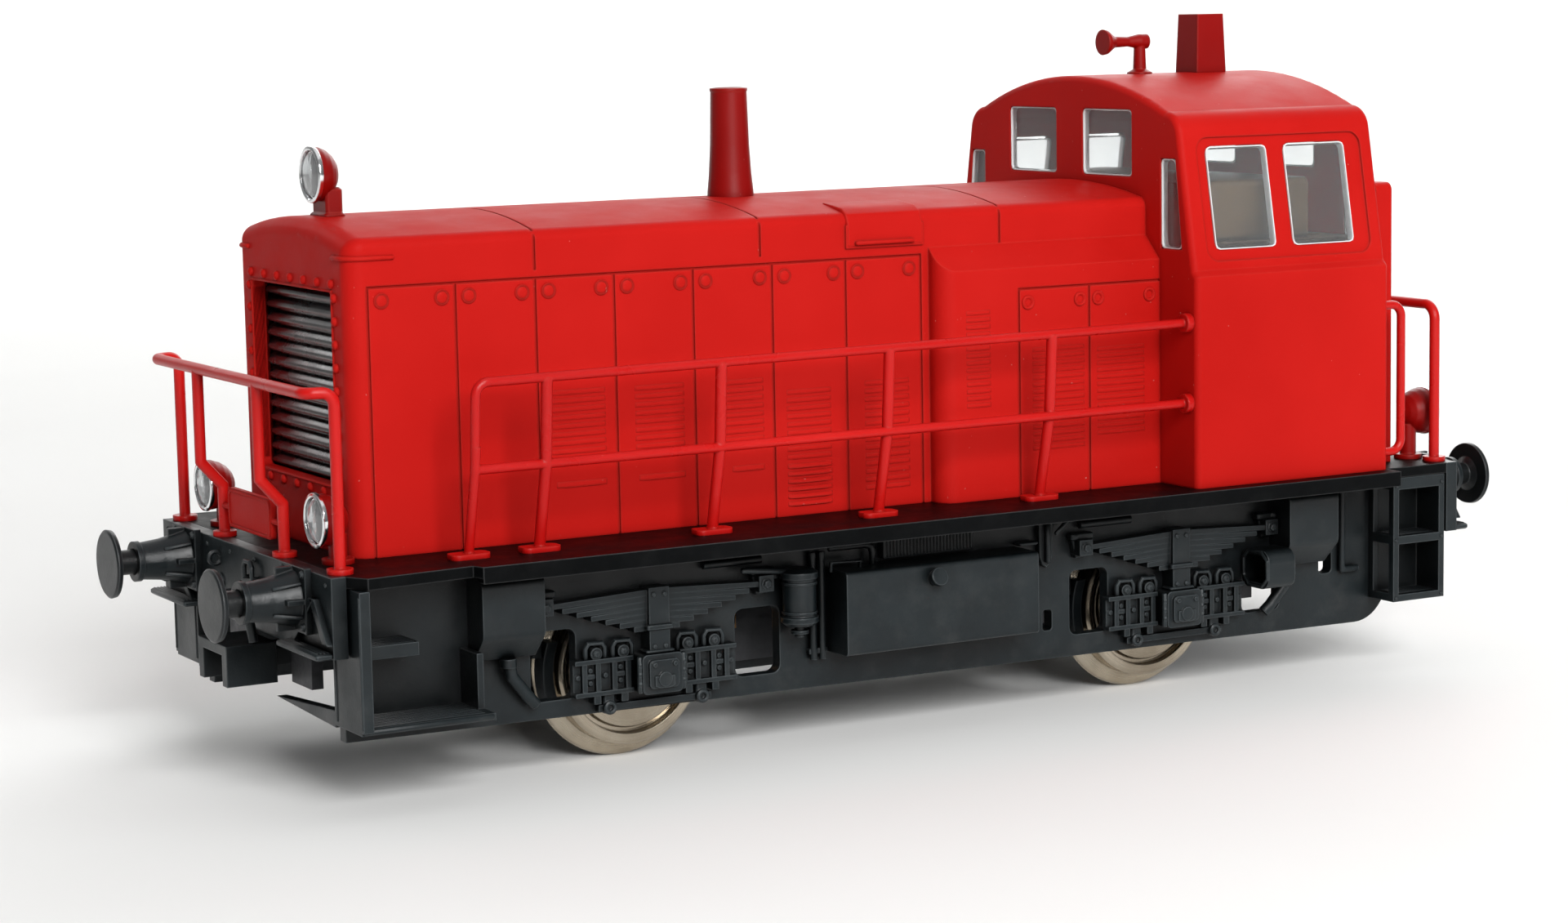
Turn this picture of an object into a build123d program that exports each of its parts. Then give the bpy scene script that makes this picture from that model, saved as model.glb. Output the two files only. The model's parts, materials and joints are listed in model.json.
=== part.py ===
from build123d import *
from math import acos, cos, pi, radians, sin, tan
import os

# A four-wheeled diesel shunting locomotive, a model in H0 scale (1:87).
# Axes: +X towards the radiator end, +Y to the locomotive's left, +Z up.
# Heights in this file are measured from the top of the rail. Every piece is written
# one flange depth higher, so that the frame's origin lies under the middle of the
# locomotive at the level of the wheel flanges.

# ---- driving dimensions (mm) ----
FLANGE = 1.0                 # wheel flange depth below the rail top
BUFFER_FACE = 51.03          # half the length over the buffers
BUFFER_Y = 10.06             # 1750 mm buffer spacing at 1:87, halved
BUFFER_Z = 12.56
BUFFER_TRAVEL = 0.8
BEAM_FACE = 45.06
BEAM_HALF = 15.51
BEAM_THICK = 1.0
BEAM_LOW = 9.3
DECK_TOP = 14.48
DECK_THICK = 0.75
SOLEBAR_Y = 17.21
SOLEBAR_LOW = 13.38
SOLEBAR_THICK = 0.8
SOLEBAR_FRONT = 35.45
SOLEBAR_REAR = -38.34
AXLES = (21.37, -20.96)
AXLE_Z = 5.45
AXLE_R = 1.0
WHEEL_R = 5.45
WHEEL_FACE = 9.63            # outer wheel face from the centre line
WHEEL_WIDTH = 2.5
FRAME_Y = 12.5               # outer face of the side frame plates
FRAME_THICK = 1.0
FRAME_LOW = 2.6
FRAME_FRONT = 43.2
FRAME_REAR = -40.8
HOOD_FRONT = 40.97
HOOD_HALF = 9.72
SHOULDER_Z = 34.94
CROWN_Z = 36.03
WIDE_HALF = 11.4             # half width of the hood's rear section
WIDE_FRONT = -2.1
CAB_FRONT = -20.89
CAB_REAR = -38.2
CAB_HALF = 15.91
LEDGE_Z = 29.87
CAB_CROWN = 43.65
WALL = 0.9
GROOVE = 0.16                # panel line width and depth
GRILLE_HALF = 7.05
GRILLE_LOW = 18.9
GRILLE_TOP = 31.5
LOUVRES = 13
MODULE = 0.4                 # gear module
IDLER_TEETH = 20
AXLE_TEETH = 14
MESH_GAP = 0.05              # extra centre distance in each mesh
WORM_R = 2.0                 # pitch radius of the worms
WORM_CREST_R = 2.28
WORM_ROOT_R = 1.5
WORM_TOOTH = 0.28            # thread thickness at the pitch radius
WORM_TURNS = 5
SHAFT_R = 0.75
PIN_R = 0.8                  # coupler pivot
RUNNING = 0.05               # radial clearance of every running fit
RAIL_R = 0.32                # handrail wire radius
POST_R = 0.38                # handrail post radius

IDLER_Z = AXLE_Z + MODULE * (IDLER_TEETH + AXLE_TEETH) / 2 + MESH_GAP
MOTOR_Z = IDLER_Z + MODULE * IDLER_TEETH / 2 + WORM_R + MESH_GAP
MID_X = sum(AXLES) / 2
ENDS = ((1, "front"), (-1, "rear"))


# ---- shared helpers ----
def block(x0, x1, y0, y1, z0, z1):
    """A box between two corners, given in any order."""
    size = (abs(x1 - x0), abs(y1 - y0), abs(z1 - z0))
    return Pos((x0 + x1) / 2, (y0 + y1) / 2, (z0 + z1) / 2) * Box(*size)


def soft_block(x0, x1, y0, y1, z0, z1, radius, axis):
    """A box whose edges along one axis are rounded."""
    shape = block(x0, x1, y0, y1, z0, z1)
    return fillet(shape.edges().filter_by(axis), radius)


def rod(start, end, radius):
    """A round bar between two points."""
    a, b = Vector(*start), Vector(*end)
    plane = Plane(origin=a, z_dir=b - a)
    return extrude(plane * Circle(radius), (b - a).length)


def bent_bar(points, radius):
    """Round wire through a list of points, with a ball at each bend."""
    shape = rod(points[0], points[1], radius)
    for start, end in zip(points[1:], points[2:]):
        shape += Pos(*start) * Sphere(radius) + rod(start, end, radius)
    return shape


def curved_wire(points, radius, bend):
    """Round wire through a list of points, with every corner bent to one radius."""
    path = FilletPolyline(*points, radius=bend)
    start = Plane(origin=path @ 0, z_dir=path % 0)
    return sweep(start * Circle(radius), path=path)


def side_prism(points, y0, y1):
    """An outline in X and Z, thickened from y0 to y1."""
    plane = Plane(origin=(0, max(y0, y1), 0), x_dir=(1, 0, 0), z_dir=(0, -1, 0))
    return extrude(plane * make_face(Polyline(*points, close=True)), abs(y1 - y0))


def end_prism(points, x0, x1):
    """An outline in Y and Z, thickened from x0 to x1."""
    plane = Plane(origin=(min(x0, x1), 0, 0), x_dir=(0, 1, 0), z_dir=(1, 0, 0))
    return extrude(plane * make_face(Polyline(*points, close=True)), abs(x1 - x0))


def mirrored(shape):
    """The same piece on the other side of the locomotive."""
    return mirror(shape, about=Plane.XZ)


def both_sides(shapes):
    """Pieces and their mirror images, kept as separate solids."""
    return shapes + [mirrored(shape) for shape in shapes]


def spun_about_y(points, x, y, z):
    """A turned piece: the outline's points are radius and Y."""
    face = make_face(Polyline(*points, close=True))
    return Pos(x, y, z) * revolve(face, Axis.Y)


def spun_about_x(points, y, z):
    """A turned piece along X: the outline's points are X and radius."""
    face = make_face(Polyline(*points, close=True))
    return Pos(0, y, z) * revolve(face, Axis.X)


def spun_about_z(points, x, y):
    """A turned upright piece: the outline's points are radius and Z."""
    face = Plane.XZ * make_face(Polyline(*points, close=True))
    return Pos(x, y, 0) * revolve(face, Axis.Z)


def save(name, shapes):
    """Writes one node, lifted so that the flanges stand at height zero."""
    solids = []
    for shape in shapes:
        solids.extend(shape.solids())
    lifted = [Pos(0, 0, FLANGE) * solid for solid in solids]
    whole = lifted[0] if len(lifted) == 1 else Compound(children=lifted)
    export_step(whole, f"parts/{name}.step")


# ---- wheels, axles and gears ----
def wheel(x, side):
    """A solid disc wheel with a tread, a flange and a grooved face."""
    back = -WHEEL_WIDTH
    outline = [
        (AXLE_R, back),
        (WHEEL_R + FLANGE * 0.5, back),
        (WHEEL_R + FLANGE, back + 0.35),
        (WHEEL_R + FLANGE * 0.85, back + 0.6),
        (WHEEL_R + 0.15, back + 0.9),
        (WHEEL_R, back + 1.1),
        (WHEEL_R - 0.05, -0.2),
        (WHEEL_R - 0.25, 0),
        (WHEEL_R - 0.8, 0),
        (WHEEL_R - 0.85, -0.6),
        (WHEEL_R - 1.15, -0.6),
        (WHEEL_R - 1.25, -0.2),
        (1.9, -0.05),
        (AXLE_R, -0.05),
    ]
    shape = spun_about_y(outline, 0, 0, 0)
    if side < 0:
        shape = mirrored(shape)
    return Pos(x, side * WHEEL_FACE, AXLE_Z) * shape


def wheels(x):
    return [wheel(x, 1), wheel(x, -1)]


def axle(x):
    """A plain axle that stops just inside the wheel faces."""
    reach = WHEEL_FACE - 0.15
    return [rod((x, -reach, AXLE_Z), (x, reach, AXLE_Z), AXLE_R)]


def gear(teeth, width, bore, turned):
    """A spur gear about Y, with thinned involute teeth. turned is in degrees."""
    pitch_r = MODULE * teeth / 2
    base_r = pitch_r * cos(radians(20))
    tip_r = pitch_r + 0.8 * MODULE
    root_r = pitch_r - 1.2 * MODULE
    low_r = max(base_r, root_r)
    backlash = 0.05 / pitch_r
    half = pi / (2 * teeth) - backlash + tan(radians(20)) - radians(20)
    points = []
    for tooth in range(teeth):
        middle = 2 * pi * tooth / teeth + radians(turned)
        flank = []
        for step in range(4):
            r = low_r + (tip_r - low_r) * step / 3
            pressure = acos(min(1, base_r / r))
            flank.append((r, half - (tan(pressure) - pressure)))
        if root_r < low_r:
            flank.insert(0, (root_r, half))
        for r, angle in flank:
            points.append((r * cos(middle - angle), r * sin(middle - angle)))
        for r, angle in reversed(flank):
            points.append((r * cos(middle + angle), r * sin(middle + angle)))
    shape = side_prism(points, -width / 2, width / 2)
    return shape - rod((0, -width, 0), (0, width, 0), bore)


def worm(x):
    """A single-start right-handed worm, twisted out of its own end section."""
    pitch = pi * MODULE
    slope = tan(radians(20))
    turn = 2 * pi / pitch
    crest_half = WORM_TOOTH / 2 - (WORM_CREST_R - WORM_R) * slope
    root_half = WORM_TOOTH / 2 + (WORM_R - WORM_ROOT_R) * slope
    rising = [-root_half + (root_half - crest_half) * i / 3 for i in range(4)]
    offsets = rising + [0] + [-offset for offset in reversed(rising)]
    flank = []
    for offset in offsets:
        r = min(WORM_CREST_R, WORM_R + (WORM_TOOTH / 2 - abs(offset)) / slope)
        flank.append((r * cos(offset * turn), r * sin(offset * turn)))
    back = ThreePointArc(flank[-1], (-WORM_ROOT_R, 0), flank[0])
    section = make_face(Curve() + [Polyline(*flank), back])
    length = WORM_TURNS * pitch
    # the middle of the thread points down, towards the idler, at the worm's mid length
    start = (x - length / 2, 0, MOTOR_Z)
    down = (0, 0, -1) if WORM_TURNS % 2 == 0 else (0, 0, 1)
    plane = Plane(origin=start, x_dir=down, z_dir=(1, 0, 0))
    placed = (plane * section).face()
    turning = 360 * WORM_TURNS
    shape = Solid.extrude_linear_with_rotation(placed, start, (length, 0, 0), turning)
    return shape - rod((x - length, 0, MOTOR_Z), (x + length, 0, MOTOR_Z), SHAFT_R)


def motor_shaft():
    reach = max(AXLES) + 6.2
    return [rod((-reach, 0, MOTOR_Z), (reach, 0, MOTOR_Z), SHAFT_R)]


def flywheels():
    """Two brass flywheels, one at each end of the motor."""
    shapes = []
    for end, _ in ENDS:
        outline = [
            (end * 12.0, SHAFT_R), (end * 12.0, 2.2), (end * 12.5, 2.2), (end * 12.5, 4.9),
            (end * 12.8, 5.2), (end * 15.9, 5.2), (end * 16.2, 4.9), (end * 16.2, SHAFT_R),
        ]
        shapes.append(Pos(MID_X, 0, 0) * spun_about_x(outline, 0, MOTOR_Z))
    return shapes


def worms():
    return [worm(x) for x in AXLES]


def idler(x):
    """The idler between worm and axle gear; a tooth gap faces up and down."""
    shape = gear(IDLER_TEETH, 1.8, 0.75 + RUNNING, 180 / IDLER_TEETH)
    return [Pos(x, 0, IDLER_Z) * shape]


def axle_gear(x):
    """The gear pressed on the axle; one of its teeth points straight up."""
    turned = 90 % (360 / AXLE_TEETH)
    return [Pos(x, 0, AXLE_Z) * gear(AXLE_TEETH, 2.0, AXLE_R, turned)]


def idler_pins():
    return [rod((x, -2.6, IDLER_Z), (x, 2.6, IDLER_Z), 0.75) for x in AXLES]


# ---- running gear carried by the chassis ----
CHASSIS_HALF = 6.2
CHASSIS_LOW = 4.1
CHASSIS_TOP = DECK_TOP - DECK_THICK
GEAR_SLOT = 1.5              # half width of the slots that the gears run in
CAVITY_HALF = 5.4            # half width of the motor cavity
NOSE_LOW = 10.2              # underside of the frame's thin ends, over the couplers
COUPLER_PIVOT_X = 37.0
STEM_LOW = 6.6
STEM_TOP = 7.8
PIN_TOP = 10.0
BALLAST = ((28.6, 38.2), (-36.6, -28.4))


def chassis_block():
    """The die-cast frame: gear slots, axle slots, a motor cavity and a notched floor."""
    body = block(-33, 34, -CHASSIS_HALF, CHASSIS_HALF, CHASSIS_LOW, CHASSIS_TOP)
    for end, _ in ENDS:
        body += block(end * 32, end * 43.9, -5, 5, NOSE_LOW, CHASSIS_TOP)
        for side in (1, -1):
            body += block(end * 42.6, end * 43.4, side * 3.9, side * 7.4, 5.9, NOSE_LOW + 0.1)
        pivot_x = end * COUPLER_PIVOT_X
        body += rod((pivot_x, 0, STEM_TOP + RUNNING), (pivot_x, 0, NOSE_LOW + 0.1), 1.6)
        body -= rod((pivot_x, 0, 0), (pivot_x, 0, PIN_TOP), PIN_R)
    low = MOTOR_Z - 6.3
    body -= block(MID_X - 17, MID_X + 17, -CAVITY_HALF, CAVITY_HALF, low, 30)
    for x in AXLES:
        body -= block(x - 4.6, x + 4.6, -GEAR_SLOT, GEAR_SLOT, 0, 30)
        body -= block(x - 1.7, x + 1.7, -20, 20, 0, AXLE_Z + 1.7)
        body -= rod((x, -3, IDLER_Z), (x, 3, IDLER_Z), 0.76)
        # pillars that carry the outer worm bearings
        outward = 1 if x > 0 else -1
        near, far = x + outward * 4.7, x + outward * 6.4
        body += block(near, far, -3.4, 3.4, CHASSIS_LOW + 1, MOTOR_Z + 2.2)
        body -= rod((near - 2, 0, MOTOR_Z), (near + 4, 0, MOTOR_Z), 1.5)
        body -= rod((far + 2, 0, MOTOR_Z), (far - 4, 0, MOTOR_Z), 1.5)
        # keeper screw holes
        hole_x = x + outward * 9
        body -= rod((hole_x, 0, 0), (hole_x, 0, 12), 0.7)
    # ballast blocks that fill the hood's nose and the space under the cab floor
    for (x0, x1), top in zip(BALLAST, (32.0, 27.5)):
        body += block(x0, x1, -8.4, 8.4, DECK_TOP + 0.02, top)
        body += block(x0, x1, -5, 5, CHASSIS_TOP - 0.1, DECK_TOP + 0.1)
    return [body]


def worm_bearings():
    """Brass bushes: two outside the worms, two in the motor's end plates."""
    shapes = []
    for x in AXLES:
        outward = 1 if x > 0 else -1
        near, far = x + outward * 4.7, x + outward * 6.0
        shapes.append(bush(near, far, 1.5))
    for end, _ in ENDS:
        near, far = MID_X + end * 10.8, MID_X + end * 11.7
        shapes.append(bush(near, far, 1.9))
    return shapes


def bush(x0, x1, radius):
    ring = rod((x0, 0, MOTOR_Z), (x1, 0, MOTOR_Z), radius)
    return ring - rod((x0 - 9, 0, MOTOR_Z), (x0 + 9, 0, MOTOR_Z), SHAFT_R + RUNNING)


def motor_housing():
    """A round can with two flats, open along the shaft."""
    can = rod((MID_X - 10.8, 0, MOTOR_Z), (MID_X + 10.8, 0, MOTOR_Z), 6.1)
    can &= block(-30, 30, -5.3, 5.3, 0, 40)
    can -= rod((MID_X - 10.2, 0, MOTOR_Z), (MID_X + 10.2, 0, MOTOR_Z), 5.0)
    return [can - rod((-30, 0, MOTOR_Z), (30, 0, MOTOR_Z), 1.3)]


def motor_clamp():
    """A spring strap over the motor, with feet on the footplate."""
    top = MOTOR_Z + 6.1
    inside = [(-5.4, DECK_TOP), (-5.4, top), (5.4, top), (5.4, DECK_TOP)]
    outside = [(5.8, DECK_TOP), (5.8, top + 0.4), (-5.8, top + 0.4), (-5.8, DECK_TOP)]
    strap = end_prism(inside + outside, MID_X - 2, MID_X + 2)
    for side in (1, -1):
        strap += block(MID_X - 2, MID_X + 2, side * 5.4, side * 6.9, DECK_TOP, DECK_TOP + 0.4)
    return [strap]


def axle_bushes():
    """Flanged bronze bearings that drop into the frame's axle slots."""
    low = CHASSIS_LOW + 0.02
    shapes = []
    for x in AXLES:
        body = block(x - 1.65, x + 1.65, 3.9, CHASSIS_HALF + 0.1, low, AXLE_Z + 1.65)
        body += block(x - 2.2, x + 2.2, CHASSIS_HALF + 0.02, 6.7, low, AXLE_Z + 2.2)
        shapes.append(body - rod((x, 0, AXLE_Z), (x, 9, AXLE_Z), AXLE_R + RUNNING))
    return both_sides(shapes)


KEEPER_LOW = 3.4


def keeper_plate():
    """The moulded plate under the frame that holds the axles in."""
    plate = soft_block(-31, 32, -5.6, 5.6, KEEPER_LOW, CHASSIS_LOW, 1.5, Axis.Z)
    for x in AXLES:
        plate -= block(x - 4.2, x + 4.2, -GEAR_SLOT, GEAR_SLOT, 0, 9)
        outward = 1 if x > 0 else -1
        plate -= rod((x + outward * 9, 0, 0), (x + outward * 9, 0, 9), 0.75)
    for step in range(7):
        x = MID_X - 10.5 + step * 3.5
        plate -= block(x - 0.4, x + 0.4, -4, 4, 0, KEEPER_LOW + 0.25)
    return [plate]


def screw(x, y, z_head, z_tip, radius, head_radius):
    """A pan-head screw with a slot; the head is at z_head."""
    up = 1 if z_tip > z_head else -1
    outline = [
        (0, z_head), (head_radius - 0.15, z_head), (head_radius, z_head + up * 0.2),
        (head_radius, z_head + up * 0.55), (radius, z_head + up * 0.55),
        (radius, z_tip), (0, z_tip),
    ]
    shape = spun_about_z(outline, x, y)
    return shape - block(x - 3, x + 3, y - 0.12, y + 0.12, z_head - 0.25, z_head + 0.25)


def screws():
    """Keeper screws from below and the two that hold the motor strap."""
    shapes = []
    for x in AXLES:
        outward = 1 if x > 0 else -1
        shapes.append(screw(x + outward * 9, 0, KEEPER_LOW - 0.56, 9, 0.65, 1.2))
    return shapes


def pickup_wipers():
    """Thin sprung strips that bear on the backs of the wheels."""
    back = WHEEL_FACE - WHEEL_WIDTH
    shapes = []
    for x in AXLES:
        inward = -1 if x > 0 else 1
        strip = block(x + inward * 7.5, x + inward * 2.6, 6.75, 6.9, 6.6, 7.6)
        foot = block(x + inward * 7.5, x + inward * 9.5, CHASSIS_HALF, 6.9, 6.6, 7.6)
        shapes.append(strip + foot)
    return both_sides(shapes)


def brake_shoes():
    """A curved shoe on each side of every wheel, hung from the frame on a strap."""
    shapes = []
    low, high = WHEEL_FACE - 1.5, WHEEL_FACE - 0.1
    for x in AXLES:
        ring = rod((x, low, AXLE_Z), (x, high, AXLE_Z), WHEEL_R + 1.1)
        ring -= rod((x, low - 1, AXLE_Z), (x, high + 1, AXLE_Z), WHEEL_R + 0.35)
        for way in (1, -1):
            shoe = ring & block(x + way * 3.5, x + way * 8, 0, 20, 3.6, 7.6)
            hanger = block(x + way * 6.5, x + way * 7.1, low + 0.4, high - 0.3, 6.6, 13.6)
            shapes.append(shoe + hanger)
    return both_sides(shapes)


# ---- frame plates, springs and axle boxes ----
WINDOWS = ((5.55, 8.85), (-9.8, -6.35))      # frame openings beside each axle


def side_frames():
    """The frame plates, with a rounded rear corner and openings beside the wheels."""
    y0, y1 = FRAME_Y - FRAME_THICK, FRAME_Y
    outline = [
        (FRAME_REAR, FRAME_LOW), (FRAME_FRONT, FRAME_LOW + 0.7), (FRAME_FRONT, SOLEBAR_LOW),
        (FRAME_REAR, SOLEBAR_LOW),
    ]
    plate = side_prism(outline, y0, y1)
    corner = plate.edges().filter_by(Axis.Y).sort_by(Axis.X)[:2].sort_by(Axis.Z)[0]
    plate = fillet(corner, 3.0)
    for x in AXLES:
        for start, end in WINDOWS:
            plate -= soft_block(x + start, x + end, y0 - 1, y1 + 1, 4.35, 9.0, 0.6, Axis.Y)
    plate -= soft_block(-10.6, -9.8, y0 - 1, y1 + 1, 4.9, 6.4, 0.25, Axis.Y)
    plate -= soft_block(-35.6, -34.4, y0 - 1, y1 + 1, 6.6, 8.3, 0.35, Axis.Y)
    return both_sides([plate])


SPRING_LEAVES = 7
SPRING_TOP = 11.25
LEAF = 0.4


def leaf_springs():
    """Laminated springs over the axle boxes, each leaf shorter than the one above."""
    shapes = []
    for x in AXLES:
        y0, y1 = FRAME_Y, FRAME_Y + 1.1
        stack = block(x - 0.75, x + 0.75, y0, y1 + 0.25, 7.0, SPRING_TOP + 0.1)
        for leaf in range(SPRING_LEAVES):
            half = 8.0 - leaf * 1.05
            top = SPRING_TOP - leaf * LEAF
            drop = 0.35 * half / 8.0
            outline = [
                (x - half, top - drop), (x, top), (x + half, top - drop),
                (x + half, top - drop - LEAF * 0.85), (x, top - LEAF),
                (x - half, top - drop - LEAF * 0.85),
            ]
            stack += side_prism(outline, y0, y1 - 0.02 * leaf)
        for way in (1, -1):
            eye_x = x + way * 8.2
            stack += block(eye_x - 0.55, eye_x + 0.55, y0, y1 + 0.15, 10.2, 11.3)
        shapes.append(stack)
    return both_sides(shapes)


def axle_boxes():
    """Axle box housings with a lid, a ridge round it and two studs."""
    shapes = []
    for x in AXLES:
        y0 = FRAME_Y
        box = soft_block(x - 1.5, x + 1.5, y0, y0 + 1.7, 4.3, 6.95, 0.35, Axis.Y)
        box += soft_block(x - 1.1, x + 1.1, y0, y0 + 1.95, 4.7, 6.6, 0.3, Axis.Y)
        box += rod((x, y0, 5.3), (x, y0 + 2.1, 5.3), 0.5)
        for way in (1, -1):
            box += rod((x + way * 0.75, y0, 6.3), (x + way * 0.75, y0 + 2.1, 6.3), 0.16)
        shapes.append(box)
    return both_sides(shapes)


def axle_box_guides():
    """Ribbed horn guides ahead of and behind each axle box, with keeps below."""
    shapes = []
    y0 = FRAME_Y
    for x in AXLES:
        for way in (1, -1):
            near, far = x + way * 1.75, x + way * 6.0
            guide = block(near, far, y0, y0 + 0.45, 4.75, 6.9)
            for height in (6.75, 4.6):
                guide += block(near, far, y0, y0 + 0.85, height - 0.15, height + 0.15)
            for offset in (2.1, 3.1, 4.3, 5.3):
                rib = x + way * offset
                guide += block(rib - 0.18, rib + 0.18, y0, y0 + 0.8, 4.7, 6.8)
            for offset in (2.4, 4.4):
                boss = x + way * offset
                guide += rod((boss, y0, 7.25), (boss, y0 + 0.75, 7.25), 0.42)
                guide += block(boss - 0.25, boss + 0.25, y0, y0 + 0.8, 3.9, 4.6)
            shapes.append(guide)
        tie = block(x - 4.2, x + 4.2, y0, y0 + 0.5, 3.3, 3.75)
        shapes.append(tie)
    return both_sides(shapes)


def sandboxes():
    """Sand containers beside the outer axle ends, with a hopper-shaped bottom."""
    shapes = []
    for x0, x1 in ((30.2, 34.6), (-34.3, -29.85)):
        outline = [
            (FRAME_Y, 7.7), (FRAME_Y + 0.8, 7.7), (15.0, 9.4), (15.0, 13.3), (FRAME_Y, 13.3),
        ]
        box = end_prism(outline, x0, x1)
        edges = box.edges().filter_by(Axis.X).group_by(Axis.Y)[-1]
        box = fillet(edges, 0.7)
        shapes.append(box)
    return both_sides(shapes)


def sand_pipes():
    """Bent pipes from each sandbox down to the rail in front of the wheels."""
    shapes = []
    for x, way in ((32.2, -1), (-30.9, 1)):
        y = FRAME_Y + 0.9
        route = [
            (x, y, 7.6), (x + way * 0.2, y, 6.5), (x + way * 1.5, y - 0.2, 4.9),
            (x + way * 2.0, y - 0.35, 4.4),
        ]
        shapes.append(bent_bar(route, 0.42) + rod((x, y, 7.69), (x, y, 7.1), 0.55))
    return both_sides(shapes)


TANK_HALF = 7.75
TANK_Y = 15.5


def fuel_tanks():
    """Square-edged fuel tanks on both sides between the axles, each with a filler."""
    outline = [(FRAME_Y, 5.45), (TANK_Y, 5.45), (TANK_Y, 11.2), (FRAME_Y, 11.2)]
    tank = end_prism(outline, MID_X - TANK_HALF, MID_X + TANK_HALF)
    tank = fillet(tank.edges().filter_by(Axis.X).group_by(Axis.Y)[-1], 0.3)
    filler_x = 1.0
    axis_start = (filler_x, TANK_Y - 1.2, 9.75)
    filler = rod(axis_start, (filler_x, TANK_Y + 0.35, 10.25), 0.5)
    cap = rod((filler_x, TANK_Y + 0.35, 10.25), (filler_x, TANK_Y + 0.75, 10.4), 0.62)
    return both_sides([tank + filler, cap])


def brake_cylinders():
    """Upright cylinders behind the front wheels, open-mouthed ones behind the rear."""
    x, y = 10.7, FRAME_Y + 1.3
    outline = [
        (0, 6.9), (0.35, 6.9), (0.35, 7.6), (1.0, 7.7), (1.3, 7.95), (1.3, 8.3), (1.15, 8.35),
        (1.15, 10.9), (1.3, 10.95), (1.3, 11.35), (0.9, 11.6), (0, 11.6),
    ]
    cup = soft_block(-29.7, -27.3, FRAME_Y, 15.8, 6.5, 9.35, 0.9, Axis.X)
    cup -= soft_block(-29.2, -27, FRAME_Y + 0.4, 15.4, 6.9, 8.95, 0.6, Axis.X)
    return both_sides([spun_about_z(outline, x, y), cup])


def air_pipes():
    """Pipe runs beside the tanks and along the frame top, held by a small bracket."""
    y = FRAME_Y + 0.4
    shapes = []
    for x in (9.15, 8.45):
        shapes.append(rod((x, y, 5.0), (x, y, 12.4), 0.26))
    shapes.append(block(8.1, 9.5, FRAME_Y, y + 0.05, 5.4, 5.75))
    shapes = [shapes[0] + shapes[1] + shapes[2]]
    for x0, x1 in ((13.1, 17.5), (-17.2, -12.8)):
        shapes.append(rod((x0, FRAME_Y + 0.3, 12.3), (x1, FRAME_Y + 0.3, 12.3), 0.28))
    drop = [(-36.35, y - 0.1, 13.2), (-36.35, y - 0.1, 6.8), (-37.8, y - 0.1, 6.8)]
    shapes.append(bent_bar(drop, 0.25))
    return both_sides(shapes)


# ---- deck, beams, steps ----
def running_board():
    """The footplate with a solebar down each side and a platform at each end."""
    bottom = DECK_TOP - DECK_THICK
    edge = [
        (BEAM_FACE - BEAM_THICK, -BEAM_HALF), (BEAM_FACE - BEAM_THICK, BEAM_HALF),
        (43.2, 17.0), (SOLEBAR_FRONT + 0.3, 16.3), (SOLEBAR_FRONT, SOLEBAR_Y),
        (SOLEBAR_REAR, SOLEBAR_Y), (SOLEBAR_REAR, BEAM_HALF), (-BEAM_FACE + BEAM_THICK, BEAM_HALF),
        (-BEAM_FACE + BEAM_THICK, -BEAM_HALF), (SOLEBAR_REAR, -BEAM_HALF),
        (SOLEBAR_REAR, -SOLEBAR_Y), (SOLEBAR_FRONT, -SOLEBAR_Y), (SOLEBAR_FRONT + 0.3, -16.3),
        (43.2, -17.0),
    ]
    plate = extrude(Plane.XY.offset(bottom) * make_face(Polyline(*edge, close=True)), DECK_THICK)
    for side in (1, -1):
        inner, outer = side * (SOLEBAR_Y - SOLEBAR_THICK), side * SOLEBAR_Y
        plate += block(SOLEBAR_REAR, SOLEBAR_FRONT, inner, outer, SOLEBAR_LOW, DECK_TOP)
        plate += block(-39.5, 38.5, side * 11.5, side * FRAME_Y, SOLEBAR_LOW, bottom)
    for x in AXLES:
        plate -= block(x - 5.4, x + 5.4, -3.6, 3.6, 0, 30)
        outward = 1 if x > 0 else -1
        plate -= block(x + outward * 4, x + outward * 6.6, -3.6, 3.6, 0, 30)
    plate -= block(MID_X - 17.2, MID_X + 17.2, -6.0, 6.0, 0, 30)
    for x0, x1 in BALLAST:
        plate -= block(x0 - 0.2, x1 + 0.2, -5.2, 5.2, 0, 30)
    return [plate]


def buffer_beams():
    """The transverse beams at both ends, with a slot for the coupling hook."""
    shapes = []
    for end, _ in ENDS:
        outer, inner = end * BEAM_FACE, end * (BEAM_FACE - BEAM_THICK)
        beam = block(inner, outer, -BEAM_HALF, BEAM_HALF, BEAM_LOW, DECK_TOP)
        beam -= block(inner, outer, -0.55, 0.55, 10.6, 12.2)
        for y in (-4.2, 4.2):
            beam -= rod((inner - end, y, 11.6), (outer + end, y, 11.6), 0.35)
        shapes.append(beam)
    return shapes


def buffer_housing(end, side):
    """A flared buffer casing on a square flange, with ribs, bored for the plunger."""
    face = end * BEAM_FACE
    base = block(face, face + end * 0.45, -2.15, 2.15, -2.1, 2.1)
    base = Pos(0, side * BUFFER_Y, BUFFER_Z) * base
    outline = [
        (face, 0), (face, 1.95), (face + end * 0.9, 1.7), (face + end * 2.2, 1.42),
        (face + end * 3.7, 1.26), (face + end * 3.7, 1.38), (face + end * 4.1, 1.38),
        (face + end * 4.1, 0),
    ]
    sleeve = spun_about_x(outline, side * BUFFER_Y, BUFFER_Z)
    ribs = block(face, face + end * 1.6, -0.16, 0.16, -2.05, 2.05)
    ribs += block(face, face + end * 1.6, -2.1, 2.1, -0.16, 0.16)
    housing = base + sleeve + Pos(0, side * BUFFER_Y, BUFFER_Z) * ribs
    bore_start = (face + end * 1.2, side * BUFFER_Y, BUFFER_Z)
    bore_end = (face + end * 6, side * BUFFER_Y, BUFFER_Z)
    return housing - rod(bore_start, bore_end, 0.85 + RUNNING)


def buffer_housings():
    return [buffer_housing(end, side) for end, _ in ENDS for side in (1, -1)]


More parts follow.
